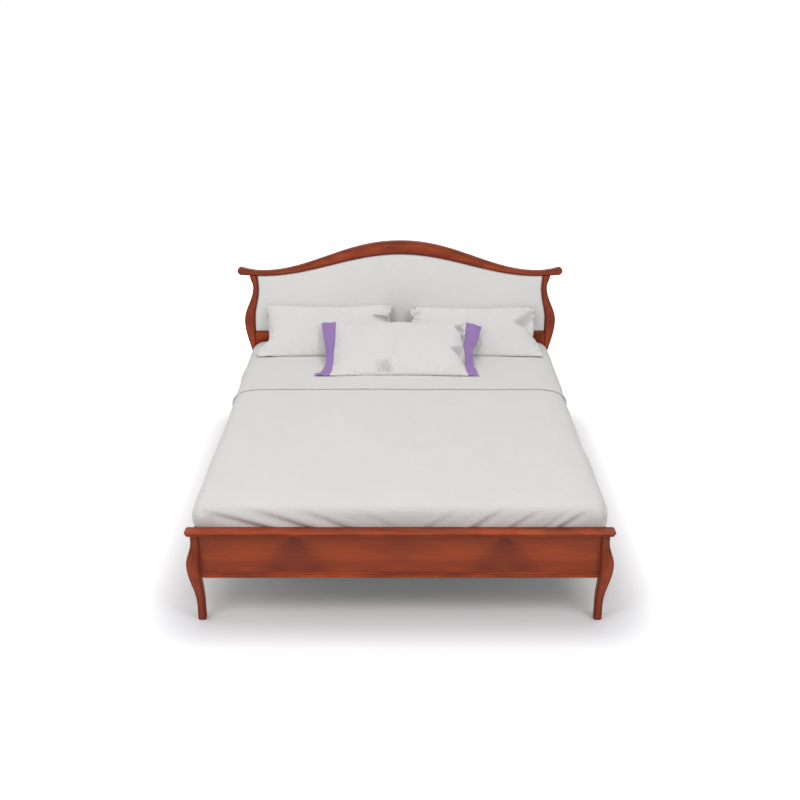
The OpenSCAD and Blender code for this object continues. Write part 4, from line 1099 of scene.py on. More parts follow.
class BED_OT_centre_support(bpy.types.Operator):
    """Finish the beam's hangers and legs, and turn the levelling feet and the glides"""
    bl_idname = "bed.centre_support"
    bl_label = "Centre Support and Feet"

    def execute(self, context):
        for node in ("front_beam_hanger", "rear_beam_hanger", "front_centre_leg", "rear_centre_leg"):
            finish_node(node, plated_steel())
        for end in ("front", "rear"):
            low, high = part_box(end + "_levelling_foot")
            centre = (low + high) / 2
            pad = [(0.2, 0.0), (21.5, 0.0), (24.0, 0.8), (25.0, 2.6), (25.0, 7.4), (24.2, 9.2), (22.4, 10.0),
                   (5.0, 10.0)]
            stud = [(5.0, 10.2)]
            z = 11.0
            while z < high.z / MM - 2.4:
                stud += [(4.4, z), (5.0, z + 0.75)]
                z += 1.5
            stud += [(4.4, high.z / MM - 1.2), (3.6, high.z / MM)]
            rings = np.array(lathe(pad + stud, 40)) * MM + np.array([centre.x, centre.y, 0])
            points, faces = loft(rings)
            foot = new_piece(end + "_foot_pad", points, faces, moulded_plastic(), 35)
            foot.data.materials.append(plated_steel())
            for face in foot.data.polygons:
                if face.center.z > 10.1 * MM:
                    face.material_index = 1
            place(foot, end + "_levelling_foot", "dark_plastic", end + "_levelling_foot")
        glide = [(0.2, 0.0), (10.6, 0.0), (11.6, 0.4), (12.0, 1.2), (12.0, 2.3), (11.6, 3.0), (0.2, 3.0)]
        points, faces = loft(np.array(lathe(glide, 40)) * MM)
        pattern = new_piece("glide_pattern", points, faces, moulded_plastic(), 35)
        places = [(p.min(0) + p.max(0)) / 2 * np.array([1, 1, 0]) for p in loose_parts("foot_glides")]
        scatter("glides", pattern, places, [(0, 0, 1)] * len(places), moulded_plastic(), "frame",
                "dark_plastic", "foot_glides")
        bpy.data.objects.remove(pattern)
        return {"FINISHED"}


# Mattress and bedding

def block_outline(half_width, front_y, back_y, front_r, back_r, counts, square=0.0):
    """Points round a rounded rectangle seen from above, from its left front corner, anticlockwise.
    Square moves them evenly on to the plain rectangle."""
    across, along = counts
    round_k = 5
    plain, rounded = [], []
    corners = ((-half_width, front_y, front_r), (half_width, front_y, front_r),
               (half_width, back_y, back_r), (-half_width, back_y, back_r))
    signs = ((1, 1), (-1, 1), (-1, -1), (1, -1))
    centres = [(x + s * r, y + t * r, r) for (x, y, r), (s, t) in zip(corners, signs)]
    for side in range(4):
        count = across if side % 2 == 0 else along
        ax, ay, _ = corners[side]
        bx, by, _ = corners[(side + 1) % 4]
        acx, acy, ar = centres[side]
        bcx, bcy, br = centres[(side + 1) % 4]
        start = math.radians(225 + 90 * side)
        middle = math.radians(270 + 90 * side)
        for k in range(count):
            plain.append((ax + (bx - ax) * k / count, ay + (by - ay) * k / count))
            if k <= round_k:
                a = start + (middle - start) * k / round_k
                rounded.append((acx + ar * math.cos(a), acy + ar * math.sin(a)))
            elif k >= count - round_k:
                a = middle + math.pi / 4 * (k - (count - round_k)) / round_k
                rounded.append((bcx + br * math.cos(a), bcy + br * math.sin(a)))
            else:
                share = (k - round_k) / (count - 2 * round_k)
                p = np.array([acx + ar * math.cos(middle), acy + ar * math.sin(middle)])
                q = np.array([bcx + br * math.cos(middle), bcy + br * math.sin(middle)])
                rounded.append(tuple(p + (q - p) * share))
    return np.array(plain) * square + np.array(rounded) * (1 - square)


def stacked(rows, counts):
    """Rings of a padded block: height, half width, front, back, corner radii and squareness a row."""
    return [
        np.column_stack([block_outline(hx, y0, y1, r0, r1, counts, sq), np.full(2 * sum(counts), z)])
        for z, hx, y0, y1, r0, r1, sq in rows
    ]


def top_grid(half_width, front_y, back_y, z, counts):
    """Grid over a flat top, and the grid point of each point of the ring round it."""
    across, along = counts
    xs = np.linspace(-half_width, half_width, across + 1)
    ys = np.linspace(front_y, back_y, along + 1)
    points = np.array([(x, y, z) for x in xs for y in ys])

    def at(i, j):
        return i * (along + 1) + j

    ring = ([at(k, 0) for k in range(across)] + [at(across, k) for k in range(along)]
            + [at(across - k, along) for k in range(across)] + [at(0, along - k) for k in range(along)])
    return points, grid_faces(across + 1, along + 1), ring


class BED_OT_mattress(bpy.types.Operator):
    """Fill the mattress, pipe its edges and stretch the fitted sheet over it"""
    bl_idname = "bed.mattress"
    bl_label = "Mattress and Fitted Sheet"

    def execute(self, context):
        low, high = MATTRESS
        counts = (80, 100)
        up = high.z - low.z
        # Share of the height and distance in from the side, in millimetres: piping at both edges
        section = [(0.000, 30), (0.004, 14), (0.016, 7), (0.030, 5.6), (0.040, 2.2), (0.052, 0.3),
                   (0.066, 0.0), (0.080, 0.5), (0.090, 2.6), (0.104, 4.0), (0.2, 2.6), (0.35, 1.6),
                   (0.5, 1.2), (0.65, 1.6), (0.8, 2.6), (0.896, 4.0), (0.91, 2.6), (0.92, 0.5),
                   (0.934, 0.0), (0.948, 0.3), (0.96, 2.2), (0.97, 5.6), (0.984, 7), (0.996, 14), (1.0, 30)]
        rows = [(low.z + up * share, high.x - inset * MM, low.y + inset * MM, high.y - inset * MM,
                 50 * MM - inset * MM * 0.5, 50 * MM - inset * MM * 0.5, 0) for share, inset in section]
        points, faces = loft(stacked(rows, counts))
        flat = np.column_stack([points[:, 0], points[:, 1] + points[:, 2]])
        mattress = new_piece("mattress_ticking", points, faces, ticking(), 45, flat=flat)
        place(mattress, "mattress", "ticking", "mattress")

        low, high = SHEET
        gap, hem = 0.5 * MM, low.z + 4 * MM

        def shell(out, tuck):
            """The sheet's inner or outer face: its distance out from the mattress, and down from its top."""
            rows = [(hem, out), (hem + 12 * MM, out), (hem + 40 * MM, out), (high.z - 12 * MM, out),
                    (high.z - 4 * MM, out - 1 * MM), (high.z - tuck, out - 6 * MM),
                    (high.z - tuck, out - 30 * MM)]
            return [(z, high.x - (1.5 * MM - o), low.y + (1.5 * MM - o), high.y - (1.5 * MM - o),
                     50 * MM, 50 * MM, 0) for z, o in rows]

        outer = stacked(shell(1.3 * MM, 0.1 * MM), counts)
        inner = stacked(shell(gap, 1.0 * MM), counts)
        rings = inner[::-1] + outer
        points, faces = loft(rings)
        ring_size = 2 * sum(counts)
        wave = np.sin(np.arange(ring_size) * 2 * np.pi / 7.0) * 0.5 * MM
        near_hem = np.clip(1 - (points[:, 2] - hem) / (35 * MM), 0, 1)
        points[:, 0] += np.tile(wave, len(rings)) * near_hem * np.sign(points[:, 0]) * 0.8
        flat = np.column_stack([points[:, 0], points[:, 1] + points[:, 2]])
        colour = context.scene.bed_finishes.bedding
        sheet = new_piece("bottom_sheet", points, faces, cloth("white_cotton", colour), 45, flat=flat)
        place(sheet, "mattress", "white_linen", "fitted_sheet")
        return {"FINISHED"}


DUVET_COUNTS = (160, 190)
# Half width, half length and corner radius of the hollow in which the mattress lies
HOLLOW = (0.8023, 1.0023, 52.3 * MM)
# The tucks at the foot's corners: across the bed, and for the left one also up
TUCK_RIGHT_X = 0.831
TUCK_LEFT = (-0.795, 0.487)


def duvet_rows():
    """The duvet's section from tucked edge to flat top: height, side, in from the foot, squareness."""
    top = DUVET[1].z / MM
    bottom, tuck = DUVET[0].z / MM, RAIL_TOP_Z / MM + 4
    low = smooth_through([(bottom, 0, 0, 0), (tuck, 0, 0, 0)], 5)[:-1]
    rest = smooth_through([
        (tuck, 0, 0, 0), (tuck + 6, 21.6, 0, 0), (tuck + 18, 33.8, 0, 0), (top - 82, 36, 0, 0),
        (top - 58, 33.5, 1, 0), (top - 38, 22.3, 4, 0), (top - 22, 7.2, 12, 0), (top - 10, -16.2, 28, 0.05),
        (top - 4, -46.8, 60, 0.35), (top, -82.8, 108, 1.0)], 5)
    return np.vstack([low, rest])


def foot_folds(x, z, depth):
    """Folds that slant down towards the middle of the foot, deeper and sharper towards the corners."""
    top = DUVET[1].z
    fade = ease((top + 2 * MM - z) / 0.075) * ease((TUCK_X - np.abs(x)) / 0.11)
    total = 0
    # From the corner to the middle: place, depth, width and slant of the left and the right folds
    folds = {
        -1: ((0.715, 1.0, 0.21, 3.3), (0.515, 1.0, 0.19, 2.6), (0.335, 0.6, 0.15, 2.2),
             (0.120, 0.25, 0.12, 2.0)),
        1: ((0.718, 0.9, 0.085, 1.35), (0.645, 0.35, 0.05, 1.2), (0.524, 0.6, 0.08, 1.4),
            (0.371, 0.8, 0.095, 1.4), (0.190, 0.35, 0.09, 1.5)),
    }
    for side, rows in folds.items():
        for at, share, width, slant in rows:
            off = (side * x - at - slant * (z - (top - 0.055))) / (width * 0.30)
            valley = np.exp(-off ** 2 * np.where(off > 0, 0.8, 2.2))
            ridge = np.exp(-(off + 1.4) ** 2 * 1.1)
            total = total + share * (valley - 0.4 * ridge) * ease(side * x / 0.04)
    return depth * fade * total


def bedding_relief(x, y, z, sizes):
    """Unevenness of the duvet in metres, outwards, at points on it."""
    swell = sizes.duvet_swell
    soft = swell * (0.66 * ripple(x, y + z, 0.46, 11) + 0.20 * ripple(x, y + z, 0.21, 12)
                    + 0.03 * ripple(x, y + z, 0.085, 13))
    on_side = ease((np.abs(x) - 0.70) / 0.11)
    side_wave = 1.6 * MM * ripple(y, 0.45 * z + 3 * np.sign(x), 0.24, 21) * on_side
    side_wave = side_wave + (3 * MM * ease((y - 0.25) / 0.3) - 4.5 * MM * np.exp(-(y / 0.3) ** 2)) * on_side
    # Faint creases on the top: start and end in metres, height in millimetres
    crease = 0
    for x0, y0, x1, y1, height in (
        (0.50, -0.62, 0.78, -0.86, 1.5), (0.44, -0.55, 0.70, -0.80, -1.1), (-0.30, -0.70, -0.62, -0.84, 1.0),
        (-0.05, -0.28, 0.40, -0.40, 0.8), (-0.60, 0.02, -0.22, 0.10, 0.7), (0.20, 0.15, 0.62, 0.05, 0.8),
    ):
        dx, dy = x1 - x0, y1 - y0
        length = math.hypot(dx, dy)
        along = ((x - x0) * dx + (y - y0) * dy) / length ** 2
        off = ((x - x0) * dy - (y - y0) * dx) / length + 0.012 * np.sin(6 * along)
        ends = ease(along * 3) * ease((1 - along) * 3)
        crease = crease + height * MM * np.exp(-(off / 0.012) ** 2) * ends
    return soft + side_wave + crease * (1 - on_side)


class BED_OT_duvet(bpy.types.Operator):
    """Lay the duvet over the mattress and tuck it in, with its slanting folds at the foot"""
    bl_idname = "bed.duvet"
    bl_label = "Duvet"

    def execute(self, context):
        sizes, colours = context.scene.bed_sizes, context.scene.bed_finishes
        low, high = DUVET
        rows = []
        for z, side, inset, square in duvet_rows():
            rows.append((z * MM, TUCK_X + side * MM, low.y + inset * MM, high.y - inset * MM / 3,
                         62 * MM, 34 * MM, square))
        rings = stacked(rows, DUVET_COUNTS)
        z, hx, y0, y1 = rows[-1][:4]
        grid, grid_quads, rim = top_grid(hx, y0, y1, z, DUVET_COUNTS)
        size = 2 * sum(DUVET_COUNTS)
        outer = rings[:-1][::-1]
        points = np.vstack([grid] + outer)
        index = [np.array(rim)] + [len(grid) + k * size + np.arange(size) for k in range(len(outer))]
        faces = list(grid_quads)
        for upper, lower in zip(index[:-1], index[1:]):
            faces += [(upper[j], upper[(j + 1) % size], lower[(j + 1) % size], lower[j]) for j in range(size)]
        hollow_top = SHEET[1].z + 0.2 * MM
        half_width, half_length, corner = HOLLOW
        for z in (low.z, hollow_top - 6 * MM, hollow_top):
            inner = np.column_stack([
                block_outline(half_width, -half_length, half_length, corner, corner, DUVET_COUNTS),
                np.full(size, z)])
            start = len(points)
            points = np.vstack([points, inner])
            new = start + np.arange(size)
            last = index[-1]
            faces += [(last[j], last[(j + 1) % size], new[(j + 1) % size], new[j]) for j in range(size)]
            index.append(new)
        faces.append(tuple(int(k) for k in index[-1]))
        fall = np.maximum(0, DUVET[1].z - points[:, 2])
        flat = np.column_stack([points[:, 0] + np.sign(points[:, 0]) * fall * (np.abs(points[:, 0]) > 0.75),
                                points[:, 1] - fall * (points[:, 1] < -0.93) + fall * (points[:, 1] > 0.98)])
        piece = new_piece("duvet_cover", points, faces, cloth("white_cotton", colours.bedding), 0, flat=flat)
        mesh = piece.data
        normal = normals_of(mesh)
        outside = np.zeros(len(points), bool)
        outside[:len(grid) + size * len(outer)] = True
        x, y, z = points.T
        on_foot = ease((-0.86 - y) / 0.10)
        raised = bedding_relief(x, y, z, sizes) - foot_folds(x, z, sizes.foot_fold) * on_foot
        tucked = ease((z - low.z - 0.05) / 0.06)
        # The corners' tucks: a long edge on the right, a short pinch on the left
        near_foot = ease((-0.93 - y) / 0.05)
        tuck_height = ease((DUVET[1].z - 0.014 - z) / 0.03) * ease((z - RAIL_TOP_Z - 0.012) / 0.03)
        tuck_right = np.exp(-((x - TUCK_RIGHT_X) / 0.007) ** 2) * near_foot * tuck_height
        under_right = ease((x - TUCK_RIGHT_X) / 0.007) * near_foot * tuck_height
        tuck_left = np.exp(-((x - TUCK_LEFT[0]) / 0.009) ** 2 - ((z - TUCK_LEFT[1]) / 0.016) ** 2) * near_foot
        raised = raised * tucked - (13 * tuck_right + 4 * under_right + 11 * tuck_left) * MM
        moved = points + normal * (raised * outside)[:, None]
        moved[:, 0] = np.clip(moved[:, 0], low.x - 6 * MM, high.x + 6 * MM)
        below_rail = outside & (moved[:, 2] < RAIL_TOP_Z + 2 * MM)
        moved[below_rail, 0] = np.clip(moved[below_rail, 0], -TUCK_X, TUCK_X)
        moved[below_rail, 1] = np.maximum(moved[below_rail, 1], low.y)
        mesh.vertices.foreach_set("co", moved.ravel())
        mesh.update()
        place(piece, "mattress", "white_linen", "duvet")
        return {"FINISHED"}


def bedding_section():
    """The duvet's section across the bed over its head half, from the left hem up and over to the right."""
    rows = duvet_rows()
    rows = rows[rows[:, 0] > RAIL_TOP_Z / MM + 17]
    right = np.column_stack([TUCK_X + rows[:, 1] * MM, rows[:, 0] * MM])
    half = right[-1, 0]
    flat_x = np.linspace(half, -half, 150)[1:-1]
    middle = np.column_stack([flat_x, np.full(len(flat_x), DUVET[1].z)])
    left = right[::-1] * np.array([-1, 1])
    return np.vstack([right, middle, left])[::-1]


class BED_OT_turned_sheet(bpy.types.Operator):
    """Turn the sheet down over the duvet's head end, with its soft rolled edge"""
    bl_idname = "bed.turned_sheet"
    bl_label = "Turned-Down Sheet"

    def execute(self, context):
        sizes, colours = context.scene.bed_sizes, context.scene.bed_finishes
        low, high = TURNED
        section = bedding_section()
        along = np.gradient(section, axis=0)
        along /= np.linalg.norm(along, axis=1)[:, None]
        outwards = np.column_stack([-along[:, 1], along[:, 0]])
        arc = np.concatenate([[0], np.cumsum(np.linalg.norm(np.diff(section, axis=0), axis=1))])
        roll, cloth_t = sizes.turned_roll, 3.6 * MM
        rings, flats = [], []
        for (x, z), (nx, nz), s in zip(section, outwards, arc):
            front = low.y - 7 * MM + 2.5 * MM * float(ripple(x, z, 0.5, 31))
            ys = list(front + roll / 2 + np.array([0.0, 4, 9, 15, 22, 32, 45, 60, 80, 104]) * MM)
            ys += list(np.linspace(front + 0.14, high.y, 56))
            ys = np.array(ys)
            thick = cloth_t + (roll - cloth_t) * np.exp(-((ys - front - roll / 2) / (24 * MM)) ** 2)
            lift = bedding_relief(np.full(len(ys), x), ys, np.full(len(ys), z), sizes)
            across = np.full(len(ys), s)
            soft = 0.8 * MM * ripple(across, ys, 0.30, 33) + 0.8 * MM * ripple(across, ys * 0.35, 0.12, 34)
            upper = np.maximum(lift + 0.6 * MM + thick + soft, lift + 1.6 * MM)
            under = lift + 0.6 * MM
            mid = (upper[0] + under[0]) / 2
            half = (upper[0] - under[0]) / 2
            ring = [(ys[k], under[k]) for k in range(len(ys) - 1, -1, -1)]
            for a in np.radians([234, 198, 162, 126]):
                ring.append((ys[0] + half * math.cos(a), mid + half * math.sin(a)))
            ring += [(ys[k], upper[k]) for k in range(len(ys))]
            rings.append([(x + nx * h, y, z + nz * h) for y, h in ring])
            flats.append([(s, y) for y, _ in ring])
        points, faces = loft(rings)
        piece = new_piece("turned_down_sheet", points, faces, cloth("white_cotton", colours.bedding), 70,
                          flat=np.array(flats).reshape(-1, 2))
        place(piece, "mattress", "white_linen", "turned_sheet")
        return {"FINISHED"}


# Pillows

PILLOW_W = 0.760
# Distance of the back pillows' middles from the bed's middle
PILLOW_X = 0.42
# Depth, thickness, slope at the front and back edges in degrees, and the front edge's place
BACK_PILLOW = (0.384, 0.160, 8, 70, 0.728)
FRONT_PILLOW = (0.446, 0.150, 4, 45, 0.426)
PILLOW_FLOOR_Z = TURNED[1].z + 0.4 * MM
PILLOW_WALL_Y = END_Y - 2 * MM
FRONT_SEAM = {}


def case_outline(u, v, width, depth):
    """Flat pillow case whose sides are drawn in between its corners."""
    draw = 18 * MM
    x = u * (width / 2 - draw * (1 - v ** 2)) * (1 - 0.012 * np.abs(u * v) ** 12)
    y = v * depth / 2 * (1 - 2 * draw / depth * (1 - u ** 2)) * (1 - 0.02 * np.abs(u * v) ** 12)
    return x, y


def pillow_case(name, width, depth, cells):
    """A flat pillow case: two cloths that share their edge, a little apart in the middle."""
    across, along = cells
    us = np.sin(np.linspace(-1, 1, across + 1) * 1.25) / math.sin(1.25)
    vs = np.sin(np.linspace(-1, 1, along + 1) * 1.15) / math.sin(1.15)
    rows = along + 1
    grid = np.array([(u, v) for u in us for v in vs])
    u, v = grid.T
    x, y = case_outline(u, v, width, depth)
    top = np.column_stack([x, y, 0.022 * (1 - u ** 4) * (1 - v ** 4)])
    rim = set(grid_rim(across + 1, rows))
    inner = [k for k in range(len(grid)) if k not in rim]
    under_of = {k: k for k in rim}
    under_of.update({k: len(grid) + n for n, k in enumerate(inner)})
    points = np.vstack([top, top[inner] * np.array([1, 1, -1])])
    faces = grid_faces(across + 1, rows)
    faces += [tuple(under_of[k] for k in reversed(face)) for face in grid_faces(across + 1, rows)]
    piece = new_piece(name, points, faces, cloth("white_cotton", bpy.context.scene.bed_finishes.bedding), 0)
    shares = np.vstack([grid, grid[inner]])
    for label, column in (("case_u", 0), ("case_v", 1)):
        piece.data.attributes.new(label, "FLOAT", "POINT").data.foreach_set(
            "value", shares[:, column].astype(np.float32))
    seam = piece.vertex_groups.new(name="seam")
    seam.add(sorted(rim), 1.0, "REPLACE")
    return piece


def crown(u, v, power, front_power):
    """Height of a plump pillow's side over its seam, from 0 to 1: rounder towards its front edge."""
    along = np.abs(v) ** np.where(v < 0, front_power, np.minimum(power, 3.4))
    return (np.clip(1 - np.abs(u) ** power, 0, 1) * np.clip(1 - along, 0, 1)) ** 0.55


def blow_up(piece, sizes, slack):
    """Fills a case by cloth simulation with gravity off: its seam stays, its slack cloth crumples."""
    modifier = piece.modifiers.new("filling", "CLOTH")
    settings = modifier.settings
    settings.quality = 6
    settings.mass = 0.25
    settings.tension_stiffness = 25
    settings.compression_stiffness = 12
    settings.shear_stiffness = 8
    settings.bending_stiffness = 0.12
    settings.vertex_group_mass = "seam"
    settings.shrink_min = -slack
    settings.use_pressure = True
    settings.uniform_pressure_force = sizes.pillow_pressure
    settings.effector_weights.gravity = 0
    modifier.collision_settings.use_collision = False
    modifier.point_cache.frame_start = 1
    modifier.point_cache.frame_end = sizes.pillow_frames
    scene = bpy.context.scene
    for number in range(1, sizes.pillow_frames + 1):
        scene.frame_set(number)
    baked(piece)
    scene.frame_set(1)


def shares_of(mesh):
    """Place of each point in the flat case, from -1 to 1 across it and from its front to its back edge."""
    out = []
    for label in ("case_u", "case_v"):
        values = np.zeros(len(mesh.vertices), np.float32)
        mesh.attributes[label].data.foreach_get("value", values)
        out.append(values.astype(float))
    return out


def bend_pillow(points, pillow, middle_x, wall):
    """Bends a flat pillow along the curve on which it leans, and rests it on the bedding."""
    depth, _, slope0, slope1, front_y = pillow
    width, flat_y, height = points[:, 0], points[:, 1], points[:, 2]
    s0, s1 = math.radians(slope0), math.radians(slope1)
    share = np.clip(flat_y / (depth / 2), -1.05, 1.05)
    a = s0 + (s1 - s0) * (share + 1) / 2
    r = depth / (s1 - s0)
    y = front_y + r * (np.sin(a) - math.sin(s0)) - height * np.sin(a)
    z = PILLOW_FLOOR_Z + 4 * MM + r * (math.cos(s0) - np.cos(a)) + height * np.cos(a)
    soft = 4 * MM
    z = PILLOW_FLOOR_Z + soft * np.logaddexp(0, (z - PILLOW_FLOOR_Z) / soft)
    if wall:
        y = PILLOW_WALL_Y - soft * np.logaddexp(0, (PILLOW_WALL_Y - y) / soft)
    return np.column_stack([middle_x + width, y, z])


def along_edge(place, rows):
    """Length in metres at a place from -1 to 1, eased through rows of place and millimetres."""
    near = [np.interp(place + step, [r[0] for r in rows], [r[1] for r in rows]) for step in (-0.05, 0, 0.05)]
    return sum(near) / 3 * MM


def right_of(u, v, start, end):
    """Distance to the right of the line from start to end."""
    du, dv = end[0] - start[0], end[1] - start[1]
    return ((u - start[0]) * dv - (v - start[1]) * du) / math.hypot(du, dv)


def fold(u, v, start, end, left, right, depth):
    """How far a crease sinks in, in metres: deepest at its start, with its own width on each side."""
    du, dv = end[0] - start[0], end[1] - start[1]
    along = ((u - start[0]) * du + (v - start[1]) * dv) / (du * du + dv * dv)
    off = right_of(u, v, start, end)
    section = np.exp(-(off / np.where(off > 0, right, left)) ** 2)
    return depth * section * ease((1 - along) * 1.25) * ease(1 + 8 * along)


def fallen(u, v, lower, apex, upper, sharp, soft, share):
    """Share of its height that an end's fallen part keeps: sharp at its lower edge, soft at its upper."""
    inside = ease(right_of(u, v, lower, apex) / sharp) * ease(right_of(u, v, apex, upper) / soft)
    return 1 - share * inside


def make_pillow(name, body, pillow, middle_x, sizes, slack, form, flip=False):
    """Sews, fills, creases and bends one pillow."""
    depth, thick = pillow[:2]
    piece = pillow_case(name, PILLOW_W, depth, (96, 56))
    blow_up(piece, sizes, slack)
    smooth = piece.modifiers.new("smooth", "SUBSURF")
    smooth.levels = smooth.render_levels = 1
    baked(piece)
    mesh = piece.data
    points = points_of(mesh)
    u, v = shares_of(mesh)
    if flip:
        points[:, 0] *= -1
        u = -u
        mesh.flip_normals()
    points[:, 0] = np.clip(points[:, 0], -PILLOW_W / 2, PILLOW_W / 2)
    points[:, 1] = np.clip(points[:, 1], -depth / 2, depth / 2)
    side = np.sign(points[:, 2])
    plump = crown(u, v, np.where(u > 0, form["right_end"], form["fullness"]), form["front"]) * thick / 2
    blown = np.abs(points[:, 2]) * thick / max(np.ptp(points[:, 2]), thick * 0.5)
    height = 0.62 * plump + 0.38 * blown
    upper = ease(points[:, 2] / (10 * MM))
    kept = 1.0
    for part in form["fallen"]:
        kept = kept * fallen(u, v, *part)
    kept = 1 - (1 - kept) * upper
    points[:, 2] = side * np.minimum(height, plump + 5 * MM) * kept
    for crease in form["folds"]:
        points[:, 2] -= fold(u, v, *crease) * upper
    lowest = np.where(upper > 0.5, -0.6 * plump, -plump - 5 * MM)
    points[:, 2] = np.maximum(points[:, 2], lowest)
    points[:, 0] += np.clip(-u, 0, 1) ** 5 * along_edge(v, form["left"])
    points[:, 0] -= np.clip(u, 0, 1) ** 5 * along_edge(v, form["right"])
    points[:, 1] -= np.clip(v, 0, 1) ** 3 * along_edge(u, form["top"])
    case = np.column_stack([u * PILLOW_W / 2, v * depth / 2])
    moved = bend_pillow(points, pillow, middle_x, pillow is BACK_PILLOW)
    mesh.vertices.foreach_set("co", moved.ravel())
    set_cloth_uv(mesh, case)
    mesh.update()
    mesh.shade_smooth()
    for label in ("case_u", "case_v"):
        mesh.attributes.remove(mesh.attributes[label])
    piece.vertex_groups.clear()
    place(piece, body, "white_linen", body)
    if pillow is FRONT_PILLOW:
        for end in (-1, 1):
            seam = np.abs(u - end) < 1e-4
            order = np.argsort(v[seam])
            FRONT_SEAM[end] = (v[seam][order], moved[seam][order])


# Each pillow's form. Places run from -1 to 1 across it and from its front edge to its back edge.
# Left, right and top: how far that edge is drawn in, in millimetres, at places along it.
# Fullness, right_end and front: how square it is towards its left end and back, its right end and its front.
# A fold: its start and end, its half widths on the left and the right of that line, its depth in metres.
# A fallen part: lower, inmost and upper point, softness along its two edges, share of the height lost.
FRONT_FORM = {
    "fullness": 3.4, "right_end": 6.0, "front": 2.8,
    "left": ((-1, 1), (-0.8, 9), (0, 2), (0.5, 10), (1, 21)),
    "right": ((-1, 12), (-0.85, 18), (-0.5, 22), (-0.3, 14), (0.0, 12), (0.22, 20), (0.45, 10), (1, 8)),
    "top": ((-1, 2), (-0.5, 0), (-0.25, 0), (0.0, -5), (0.25, 0), (0.5, 0), (1, 2)),
    "folds": (
        ((-0.175, -1.0), (-0.150, -0.46), 0.022, 0.050, 0.040),
        ((-0.165, -0.72), (-0.35, -0.70), 0.14, 0.035, 0.050),
        ((-0.215, -1.0), (-0.34, -0.60), 0.050, 0.030, 0.014),
        ((-0.19, -0.98), (0.02, -0.74), 0.050, 0.030, 0.014),
        ((-0.99, 0.10), (-0.84, 0.36), 0.05, 0.04, 0.006),
        ((-0.99, -0.20), (-0.86, -0.38), 0.04, 0.04, 0.006),
        ((0.99, -0.62), (0.80, -0.50), 0.03, 0.04, 0.006),
    ),
    "fallen": (
        ((0.99, 0.14), (0.78, 0.72), (0.99, 0.96), 0.030, 0.09, 1.5),
        ((0.99, -0.62), (0.71, -0.12), (0.99, 0.16), 0.030, 0.11, 1.5),
        ((-0.37, -1.0), (-0.18, -0.50), (-0.16, -1.0), 0.090, 0.022, 1.1),
    ),
}
LEFT_FORM = {
    "fullness": 2.9, "right_end": 2.9, "front": 2.6,
    "left": ((-1, 20), (-0.85, 0), (-0.62, 0), (-0.50, 14), (-0.38, 46), (-0.15, 48), (0.2, 38), (0.6, 36),
             (1, 42)),
    "right": ((-1, 0), (0, 0), (0.3, 3), (0.42, 8), (0.55, 0), (1, 2)),
    "top": ((-1, 26), (-0.85, 13), (-0.4, 9), (0.2, 13), (0.6, 9), (0.9, 12), (1, 20)),
    "folds": (
        ((0.99, 0.50), (0.64, 0.53), 0.130, 0.020, 0.042),
        ((0.96, 0.98), (0.955, 0.42), 0.012, 0.012, 0.010),
        ((-0.99, -0.42), (-0.74, -0.26), 0.05, 0.03, 0.014),
        ((-0.99, 0.10), (-0.80, 0.02), 0.05, 0.05, 0.006),
        ((-0.90, -0.98), (-0.86, -0.60), 0.04, 0.04, 0.006),
    ),
    "fallen": (),
}
RIGHT_FORM = {
    "fullness": 2.9, "right_end": 2.9, "front": 2.6,
    "left": ((-1, 0), (0, 2), (0.4, 4), (0.6, 12), (0.75, 4), (1, 14)),
    "right": ((-1, 8), (-0.75, 2), (-0.5, 9), (-0.3, 24), (-0.18, 38), (0.1, 28), (0.6, 25), (1, 30)),
    "top": ((-1, 46), (-0.93, 26), (-0.8, 20), (0, 19), (0.6, 21), (0.9, 26), (1, 36)),
    "folds": (
        ((-0.99, 0.56), (-0.78, 0.72), 0.030, 0.050, 0.028),
        ((-0.99, 0.56), (-0.86, 0.30), 0.035, 0.030, 0.020),
        ((0.99, -0.16), (0.53, 0.24), 0.020, 0.080, 0.010),
        ((0.20, -0.98), (0.22, -0.70), 0.05, 0.05, 0.004),
    ),
    "fallen": (((0.99, -0.16), (0.54, 0.24), (0.93, 0.99), 0.035, 0.26, 1.05),),
}


class BED_OT_pillows(bpy.types.Operator):
    """Sew and fill the two back pillows and the front pillow"""
    bl_idname = "bed.pillows"
    bl_label = "Pillows"

    def execute(self, context):
        sizes = context.scene.bed_sizes
        make_pillow("left_pillow_case", "left_back_pillow", BACK_PILLOW, -PILLOW_X, sizes, 0.05, LEFT_FORM)
        make_pillow("right_pillow_case", "right_back_pillow", BACK_PILLOW, PILLOW_X, sizes, 0.06, RIGHT_FORM,
                    True)
        make_pillow("front_pillow_case", "front_pillow", FRONT_PILLOW, 0.0, sizes, 0.055, FRONT_FORM)
        return {"FINISHED"}


